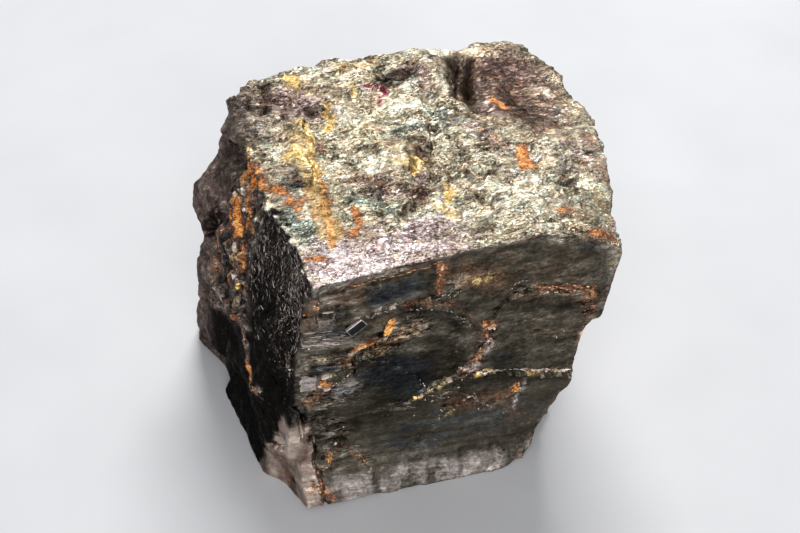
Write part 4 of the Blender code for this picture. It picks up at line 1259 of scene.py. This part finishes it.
class Part:
    """One socket of a finish. Sums on it add Math or Vector Math nodes to the finish."""

    def __init__(self, socket):
        self.socket = socket

    def node(self, kind, settings=None, sockets=None, give=0):
        """Another node in the same finish, with its settings made before its sockets are filled."""
        made = self.socket.id_data.nodes.new("ShaderNode" + kind)
        for name, value in (settings or {}).items():
            if name == "stops":
                while len(made.color_ramp.elements) < len(value):
                    made.color_ramp.elements.new(0.5)
                for stop, (place, colour) in zip(made.color_ramp.elements, value):
                    stop.position = place
                    stop.color = colour if len(colour) == 4 else (*colour, 1)
            else:
                setattr(made, name, value)
        for name, value in (sockets or {}).items():
            if isinstance(value, Part):
                made.id_data.links.new(value.socket, made.inputs[name])
            else:
                made.inputs[name].default_value = value
        return Part(made.outputs[give])

    def sum(self, operation, *others, reverse=False):
        values = [self, *others]
        if reverse:
            values.reverse()
        vector = any(
            isinstance(value, tuple) or (isinstance(value, Part) and value.socket.type != "VALUE")
            for value in values
        )
        if vector and operation in ("ADD", "SUBTRACT", "MULTIPLY", "DIVIDE"):
            values = [(value,) * 3 if isinstance(value, (int, float)) else value for value in values]
        kind = "VectorMath" if vector else "Math"
        return self.node(kind, {"operation": operation}, dict(enumerate(values)))

    def __add__(self, other):
        return self.sum("ADD", other)

    def __sub__(self, other):
        return self.sum("SUBTRACT", other)

    def __rsub__(self, other):
        return self.sum("SUBTRACT", other, reverse=True)

    def __mul__(self, other):
        return self.sum("MULTIPLY", other)

    def __truediv__(self, other):
        return self.sum("DIVIDE", other)

    __radd__ = __add__
    __rmul__ = __mul__

    def of(self, name):
        """Another output of the node that this socket is on."""
        return Part(self.socket.node.outputs[name])

    def ramp(self, start, end):
        """0 where this is start and 1 where it is end."""
        sockets = {"Value": self, "From Min": start, "From Max": end, "To Min": 0.0, "To Max": 1.0}
        return self.node("MapRange", {"clamp": True, "interpolation_type": "LINEAR"}, sockets)

    def colours(self, *stops):
        return self.node("ValToRGB", {"stops": stops}, {"Fac": self})

    def blend(self, first, second):
        """first where this is 0 and second where it is 1, for colours."""
        sockets = {}
        for place, value in ((6, first), (7, second)):
            sockets[place] = (*value, 1) if isinstance(value, tuple) else value
        sockets[0] = self
        return self.node("Mix", {"data_type": "RGBA", "clamp_factor": True}, sockets, give=2)

    def parts(self):
        split = self.node("SeparateColor", None, {"Color": self})
        return split, split.of("Green"), split.of("Blue")

    def largest(self, other):
        return self.sum("MAXIMUM", other)


def finish(name):
    """A new material with its shader, and the place on the object as the first socket, in mm."""
    material = bpy.data.materials.new(name)
    material.use_nodes = True
    shader = material.node_tree.nodes["Principled BSDF"]
    place = Part(material.node_tree.nodes.new("ShaderNodeTexCoord").outputs["Object"])
    return material, shader, place * (1000.0, 1000.0, 1000.0)


def wire(shader, name, value):
    shader.id_data.links.new(value.socket, shader.inputs[name])


def noise_at(place, size, detail=2.0, roughness=0.55):
    """Noise from 0 to 1 with lumps of the given size in millimetres, or of a size each way."""
    if isinstance(size, tuple):
        place = place * tuple(1 / side for side in size)
        scale = 1.0
    else:
        scale = 1 / size
    sockets = {"Vector": place, "Scale": scale, "Detail": detail, "Roughness": roughness}
    return place.node("TexNoise", {"noise_dimensions": "3D"}, sockets)


def cells_at(place, size, feature="F1", give="Color"):
    """A random colour for each crystal cell of the given size in millimetres each way."""
    place = place * tuple(1 / side for side in size)
    settings = {"voronoi_dimensions": "3D", "feature": feature}
    return place.node("TexVoronoi", settings, {"Vector": place, "Scale": 1.0}, give)


def edges_at(place, size):
    """How far each place is from the border of its crystal cell, in cells."""
    return cells_at(place, size, "DISTANCE_TO_EDGE", "Distance")


ore, shader, place = finish("ore")
kinds, stains, moods, hues = (
    place.node("Attribute", {"attribute_name": name}, None, "Color")
    for name in ("kinds", "stains", "moods", "hues")
)
top, front, left_face = kinds.parts()
block = kinds.of("Alpha")
rust, gold, pale = stains.parts()
crimson = stains.of("Alpha")
# The dark mask holds dark tones and painted shade; the bright mask holds lighter tones and painted
# highlights
dark, lilac, bright = moods.parts()
lobes = moods.of("Alpha")
warm, cool, torn = hues.parts()

axes = place.node("SeparateXYZ", None, {"Vector": place})
height = axes.of("Z")
depth_back = axes.of("Y")
fleck = cells_at(place, (0.50, 0.30, 0.32))
flake = cells_at(place, (1.9, 1.1, 1.0))
fleck_a, fleck_b, fleck_c = fleck.parts()
flake_a, flake_b, flake_c = flake.parts()
patches = noise_at(place, 9.0, 3.0)
drift = noise_at(place, (6.0, 3.4, 3.4), 5.0, 0.62)
hue_drift = noise_at(place + (31.0, 7.0, 3.0), (4.5, 3.0, 3.0), 4.0, 0.65)
streaks = noise_at(place + axes * (0.0, 0.0, 0.14), (14.0, 1.2, 0.55), 4.0, 0.6)
fine_noise = noise_at(place, 0.8, 3.0, 0.7)
warp = noise_at(place, 2.6, 3.0, 0.6).of("Color") - (0.5, 0.5, 0.5)
winding = place + warp * 3.4
creases = (noise_at(winding, (4.2, 1.2, 1.6), 3.0, 0.6) - 0.5).sum("ABSOLUTE").ramp(0.0, 0.055)
crinkles = (noise_at(place + warp * 2.4, (2.1, 0.50, 0.60), 2.0, 0.6) - 0.5).sum("ABSOLUTE").ramp(0.0, 0.09)
glints = noise_at(place + warp * 2.0, (1.25, 0.32, 0.40), 1.0, 0.5)

# The top: crinkled pale flakes, brassy, greenish or lilac, over darker brown and olive tones, with
# painted shade in its creases, crinkles, pits and hollows, and glints painted into its tone by the
# glint noise
fineness = noise_at(place, 6.0, 2.0).ramp(0.32, 0.62)
calm = 1 - torn * 0.75
tone = (fleck_a - 0.5) * 0.20 + (flake_a - 0.5) * 0.14 + (drift - 0.5) * 0.90
tone = tone + ((glints - 0.5) * 0.60 + (crinkles - 0.6) * 0.38) * (fineness * 0.6 + 0.5)
tone = tone * 1.06 * calm + (patches - 0.5) * 0.45 + 0.54 + bright * 0.11
tone = tone - depth_back.ramp(8.0, 30.0) * 0.06
tone = tone - dark * 0.36 - (1 - creases) * 0.20 - warm * 0.09 - cool * 0.05
brass = tone.colours(
    (0.0, (0.033, 0.024, 0.019)), (0.22, (0.125, 0.092, 0.068)), (0.42, (0.31, 0.255, 0.175)),
    (0.60, (0.56, 0.50, 0.355)), (0.80, (0.86, 0.84, 0.67)), (1.0, (1.0, 0.99, 0.88)),
)
mint = tone.colours(
    (0.0, (0.022, 0.025, 0.021)), (0.22, (0.085, 0.095, 0.080)), (0.42, (0.240, 0.270, 0.225)),
    (0.60, (0.45, 0.54, 0.435)), (0.80, (0.74, 0.88, 0.74)), (1.0, (0.94, 1.0, 0.93)),
)
violet = tone.colours(
    (0.0, (0.036, 0.022, 0.021)), (0.22, (0.135, 0.088, 0.078)), (0.42, (0.33, 0.256, 0.236)),
    (0.60, (0.60, 0.500, 0.480)), (0.80, (0.89, 0.805, 0.815)), (1.0, (1.0, 0.96, 0.99)),
)
peach = tone.colours(
    (0.0, (0.055, 0.025, 0.016)), (0.22, (0.20, 0.105, 0.062)), (0.42, (0.46, 0.275, 0.160)),
    (0.60, (0.73, 0.50, 0.30)), (0.80, (0.95, 0.80, 0.58)), (1.0, (1.0, 0.95, 0.82)),
)
greenish = (hue_drift - 0.5) * 1.5 + (flake_b - 0.5) * 0.5 + (fleck_b - 0.5) * 0.5 + cool * 0.8
top_colour = greenish.ramp(0.12, 0.55).blend(brass, mint)
peachy = (0.5 - hue_drift) * 1.3 + (flake_c - 0.5) * 0.6 + (fleck_c - 0.5) * 0.5 + warm * 0.25
top_colour = peachy.ramp(0.22, 0.62).blend(top_colour, peach)
purple = lilac + warm * 0.75 + (flake_b - 0.5) * 0.8 + (patches - 0.5) * 1.2 - (fleck_b - 0.5) * 0.6
top_colour = purple.ramp(0.30, 1.0).blend(top_colour, violet)
wine = (0.5 - tone) * 1.2 + (flake_a - 0.5) * 0.9 + (hue_drift - 0.5) * 1.6 - bright * 0.3
wine = wine.ramp(0.30, 0.62) * (0.5 - torn * 0.4)
top_colour = wine.blend(top_colour, top_colour * (1.0, 0.68, 0.62))

# The front: dark bronze plates, drawn into fine level streaks where the cleavage is smooth
SLAB = (6.5, 6.5, 1.9)
CHIP = (1.7, 1.7, 0.75)
slab_place = place + warp * 1.5
slabs = cells_at(slab_place, SLAB)
slab_a, slab_b, _ = slabs.parts()
chips = cells_at(slab_place, CHIP)
chip_a, chip_b, chip_c = chips.parts()
slab_rim = 1 - edges_at(slab_place, SLAB).ramp(0.0, 0.035)
chip_rim = 1 - edges_at(slab_place, CHIP).ramp(0.0, 0.07)
blotches = noise_at(place, (6.0, 6.0, 3.0), 5.0, 0.65)
restless = noise_at(place, 10.0, 2.0, 0.5).ramp(0.40, 0.62)
mottle = noise_at(place + warp * 0.8, (1.5, 1.5, 0.8), 3.0, 0.65)
streak_tone = (streaks - 0.5) * 0.34 * (restless * 0.65 + torn * 0.4 + 0.15)
streak_tone = streak_tone + (fine_noise - 0.5) * 0.40 + (fleck_a - 0.5) * 0.10
streak_tone = streak_tone + (mottle - 0.5) * 0.65 * (1.15 - restless) + (blotches - 0.5) * 1.0
streak_tone = streak_tone + (slab_a - 0.5) * (torn * 0.22 + 0.10) + (chip_a - 0.5) * (torn * 0.40 + 0.03)
streak_tone = streak_tone * (1.25 + torn * 0.8) * (1 - height.ramp(36.0, 24.0) * 0.4)
streak_tone = streak_tone + 0.45 - dark * 0.30 + torn * 0.06 + bright * 0.13
# Painted highlights and painted shade lines along the edges of the plates and chips, most where the front
# is torn
painted_rim_light = slab_rim * (slab_b - 0.45) + chip_rim * (chip_c - 0.5) * 1.2
streak_tone = streak_tone + painted_rim_light * (torn * 0.9 + 0.12)
bronze = streak_tone.colours(
    (0.0, (0.021, 0.019, 0.015)), (0.30, (0.056, 0.050, 0.038)), (0.52, (0.117, 0.103, 0.078)),
    (0.75, (0.25, 0.218, 0.172)), (1.0, (0.62, 0.55, 0.45)),
)
cold = streak_tone.colours(
    (0.0, (0.014, 0.0155, 0.0165)), (0.30, (0.041, 0.044, 0.046)), (0.52, (0.088, 0.093, 0.096)),
    (0.75, (0.20, 0.21, 0.215)), (1.0, (0.50, 0.53, 0.54)),
)
toasted = streak_tone.colours(
    (0.0, (0.030, 0.018, 0.012)), (0.30, (0.080, 0.052, 0.034)), (0.52, (0.155, 0.105, 0.070)),
    (0.75, (0.32, 0.22, 0.14)), (1.0, (0.75, 0.58, 0.38)),
)
front_colour = (cool + (slab_b - 0.5) * 0.6 + (0.5 - hue_drift) * 0.8).ramp(0.25, 0.75).blend(bronze, cold)
warmth = warm + (chip_b - 0.5) * (torn * 0.9 + 0.1) + (hue_drift - 0.5) * 1.4 + (mottle - 0.5) * 0.6 - 0.05
front_colour = warmth.ramp(0.25, 0.85).blend(front_colour, toasted)

# The left faces: almost black, with fine bright needles near the top
leaning = height * (0.35, 0.45, 0.0)
needles = noise_at(place + leaning + warp * 1.2, (0.30, 0.42, 1.7), 2.5, 0.6)
crossing = place - leaning + warp * 1.2 + (3.0, 5.0, 7.0)
needles = needles.largest(noise_at(crossing, (0.30, 0.38, 1.3), 2.5, 0.6))
needle_zone = (height + (patches - 0.5) * 50.0 + (drift - 0.5) * 40.0 - depth_back * 0.4).ramp(34.0, 68.0)
needle_tone = (needles - 0.60) * 3.2 + 0.42 - (1 - needle_zone) * 0.60
left_colour = needle_tone.colours(
    (0.10, (0.013, 0.012, 0.011)), (0.33, (0.032, 0.028, 0.026)), (0.50, (0.080, 0.068, 0.063)),
    (0.67, (0.20, 0.165, 0.155)), (0.90, (0.60, 0.52, 0.47)),
)

# The broken back, right and underside, and the weathered lobes: brown-grey with bright flecks
broken_tone = (fleck_a - 0.5) * 0.25 + (flake_a - 0.5) * 0.30 + (patches - 0.5) * 1.1
broken_tone = broken_tone + (drift - 0.5) * 0.8 + (fine_noise - 0.5) * 0.6
broken_tone = broken_tone * (1 + hues.of("Alpha") * 0.6) + 0.40 - dark * 0.7 - lobes * 0.04
blocks = cells_at(slab_place, (4.6, 4.6, 3.4))
block_a, block_b, _ = blocks.parts()
broken_tone = broken_tone + (1 - lobes) * ((block_a - 0.5) * 0.26 + (chip_a - 0.5) * 0.16)
broken_colour = broken_tone.colours(
    (0.0, (0.020, 0.013, 0.011)), (0.30, (0.080, 0.056, 0.047)), (0.55, (0.19, 0.135, 0.115)),
    (0.80, (0.40, 0.30, 0.235)), (1.0, (0.85, 0.72, 0.52)),
)
steel = broken_tone.colours(
    (0.0, (0.016, 0.015, 0.014)), (0.30, (0.062, 0.057, 0.050)), (0.55, (0.150, 0.138, 0.118)),
    (0.80, (0.38, 0.345, 0.28)), (1.0, (0.90, 0.83, 0.65)),
)
steely = (1 - lobes) * (block_b * 0.7 + (hue_drift - 0.5) * 1.6 + 0.2)
broken_colour = steely.ramp(0.45, 0.75).blend(broken_colour, steel)
block_tone = (patches - 0.5) * 1.6 + (drift - 0.5) * 1.2 + (fine_noise - 0.5) * 0.4 + 0.5 - dark * 0.8
block_colour = block_tone.colours(
    (0.0, (0.03, 0.02, 0.016)), (0.28, (0.20, 0.13, 0.10)), (0.5, (0.36, 0.28, 0.235)),
    (0.85, (0.66, 0.55, 0.46)),
)
broken_colour = block.blend(broken_colour, block_colour)
colour = top.blend(broken_colour, top_colour)
colour = left_face.blend(colour, left_colour)
colour = front.blend(colour, front_colour * (0.86, 0.85, 0.84))

# Stains with ragged edges: rust, gold, the pale crust with the painted sheen on the front's foot,
# and crimson
ragged_edge = (fine_noise - 0.5) * 0.9 + (fleck_c - 0.5) * 0.25 + (drift - 0.5) * 0.5
grit = (fleck_b - 0.5) * 0.9 + (fine_noise - 0.5) * 1.0 + (glints - 0.5) * 0.8
rust_mask = (rust + ragged_edge * (1 - top * 0.35)).ramp(0.20, 0.68) * (0.93 - front * 0.13)
rust_tone = grit * 0.65 + (flake_c - 0.5) * 0.4 + (rust.sum("MINIMUM", 1.0) - 0.75) * 0.65
rust_tone = rust_tone + 0.50 - front * 0.12
rust_colour = rust_tone.colours(
    (0.05, (0.075, 0.034, 0.022)), (0.30, (0.24, 0.088, 0.040)), (0.52, (0.52, 0.215, 0.065)),
    (0.72, (0.80, 0.44, 0.15)), (0.95, (1.0, 0.80, 0.50)),
)
baked_colour = rust_tone.colours(
    (0.05, (0.060, 0.032, 0.022)), (0.30, (0.17, 0.082, 0.052)), (0.52, (0.38, 0.18, 0.105)),
    (0.72, (0.68, 0.40, 0.25)), (0.95, (0.98, 0.83, 0.70)),
)
rust_colour = ((1 - top) * (1 - front)).blend(rust_colour, rust_colour * (0.95, 0.80, 0.50))
baked = front * 0.8 - (rust - 0.95) * 2.0
rust_colour = baked.blend(rust_colour * (1.0, 0.84, 0.66), baked_colour * (1.0, 0.93, 0.84))
rust_colour = top.blend(rust_colour, rust_colour * (0.80, 0.66, 0.52))
rust_colour = front.blend(rust_colour, rust_colour * (0.96, 0.86, 0.72))
gold_mask = (gold + ragged_edge * (1 - top * 0.35)).ramp(0.22, 0.70) * 0.92
gold_colour = (grit * 0.7 + (gold - 0.5) * 0.2 + 0.50).colours(
    (0.05, (0.24, 0.12, 0.03)), (0.35, (0.58, 0.33, 0.08)), (0.60, (0.86, 0.60, 0.18)),
    (0.92, (1.0, 0.93, 0.66)),
)
pale_mask = (pale + ragged_edge * 0.8).ramp(0.25, 0.85) * 0.85
pale_tone = (fine_noise - 0.5) * 0.4 + (streaks - 0.5) * 0.8 + (chip_c - 0.5) * 0.2 + (pale - 0.6) * 0.5
pale_colour = (pale_tone + 0.5).colours(
    (0.1, (0.075, 0.065, 0.060)), (0.45, (0.24, 0.21, 0.195)), (0.7, (0.46, 0.42, 0.40)),
    (0.95, (0.85, 0.78, 0.74)),
)
colour = pale_mask.blend(colour, pale_colour * (1.0, 0.965, 0.95))
colour = rust_mask.blend(colour, rust_colour)
colour = gold_mask.blend(colour, gold_colour)
crimson_mask = (crimson + ragged_edge).ramp(0.28, 0.70)
crimson_colour = grit.colours((0.0, (0.10, 0.015, 0.03)), (0.4, (0.42, 0.05, 0.11)), (1.0, (0.8, 0.4, 0.5)))
colour = crimson_mask.blend(colour, crimson_colour)
wire(shader, "Base Color", colour)

stained = rust_mask.largest(pale_mask * 0.6).largest((1 - top) * (1 - front) * (1 - left_face) * 0.35)
wire(shader, "Metallic", 1 - stained * 0.8)
rough = 0.29 + fleck_c * 0.14 + stained * 0.30 + warm * top * 0.08
wire(shader, "Roughness", rough + (chip_b - 0.5) * torn * 0.2)
shader.inputs["Specular Tint"].default_value = (0.45, 0.45, 0.45, 1)

# Each cell of crystal faces its own way, so neighbours catch the light at different times
normal = place.node("NewGeometry", None, None, "Normal")
GREY = (0.5, 0.5, 0.5)
lean = (fleck - GREY) * (top * 0.26 * fineness * calm + 0.08 + left_face * 0.4 + (1 - front) * 0.12)
lean = lean + (flake - GREY) * (top * 0.18 * calm + 0.04)
lean = lean + (chips - GREY) * (front * torn * 0.55 + front * 0.03)
lean = lean + (slabs - GREY) * front * 0.12
lean = lean + (blocks - GREY) * ((1 - front) * (1 - top) * (1 - left_face) * 0.35)
tilted = (normal + lean).sum("NORMALIZE")
grain_height = streaks * front * 0.25 + fine_noise * (front * 0.25 + 0.30)
grain_height = grain_height + needles * left_face * 0.6 + creases * top * 0.5
grain_height = grain_height + (glints * 0.75 + crinkles * 0.45) * top * calm
relief = {"Height": grain_height, "Normal": tilted, "Strength": 0.5, "Distance": 0.0004}
bumped = place.node("Bump", None, relief)
wire(shader, "Normal", bumped)

for piece in (
    stone, plates, crystal_plate, orange_flake, front_blocks, bright_grains, seams, crags, needle_felt
):
    piece.data.materials.clear()
    piece.data.materials.append(ore)
    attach(piece, "root")
    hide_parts("meteorite")

# ------------------------------
# The table: a plain pale floor, with soft studio light from behind and above.
# ------------------------------
ground = bmesh.new()
bmesh.ops.create_grid(ground, x_segments=1, y_segments=1, size=3.0)
floor_mesh = bpy.data.meshes.new("floor")
ground.to_mesh(floor_mesh)
ground.free()
floor = new_object("floor", floor_mesh)
floor_finish, floor_shader, floor_place = finish("pale_floor")
floor_colour = noise_at(floor_place, 40.0).colours((0.3, (0.44, 0.44, 0.45)), (0.7, (0.47, 0.47, 0.48)))
wire(floor_shader, "Base Color", floor_colour)
floor_shader.inputs["Roughness"].default_value = 0.6
floor.data.materials.append(floor_finish)


def softbox(name, place, aim, size, power, colour=(1, 1, 1)):
    lamp = bpy.data.lights.new(name, "AREA")
    lamp.shape = "RECTANGLE"
    lamp.size, lamp.size_y = size
    lamp.energy = power
    lamp.color = colour
    holder = new_object(name, lamp)
    holder.location = place
    holder.rotation_euler = (Vector(aim) - Vector(place)).to_track_quat("-Z", "Y").to_euler()


softbox("key_softbox", (0.28, 0.80, 0.95), (0, 0, 0.06), (0.60, 0.45), 19)
softbox("front_softbox", (-0.1, -1.35, 0.60), (0, 0, 0.04), (1.2, 0.6), 12.5)
softbox("camera_softbox", (-0.16, -0.52, 0.62), (0, 0, 0.04), (0.3, 0.3), 2.0)

world = bpy.data.worlds.new("studio")
world.use_nodes = True
world.node_tree.nodes["Background"].inputs["Color"].default_value = (0.75, 0.78, 0.82, 1)
world.node_tree.nodes["Background"].inputs["Strength"].default_value = 0.5
bpy.context.scene.world = world
bpy.context.scene.view_settings.view_transform = "Standard"

camera_data = bpy.data.cameras.new("camera")
camera_data.lens = 88.65
camera_data.sensor_width = 36.0
camera_data.clip_start, camera_data.clip_end = 0.01, 20
camera = new_object("camera", camera_data)
CAMERA_PLACE = (-97.2, -335.9, 349.8)
CAMERA_AIM = (-2.33, -5.22, 40.0)
camera.location = Vector(CAMERA_PLACE) * MM
aim = Vector(CAMERA_AIM) * MM
camera.rotation_euler = (aim - camera.location).to_track_quat("-Z", "Y").to_euler()
bpy.context.scene.camera = camera
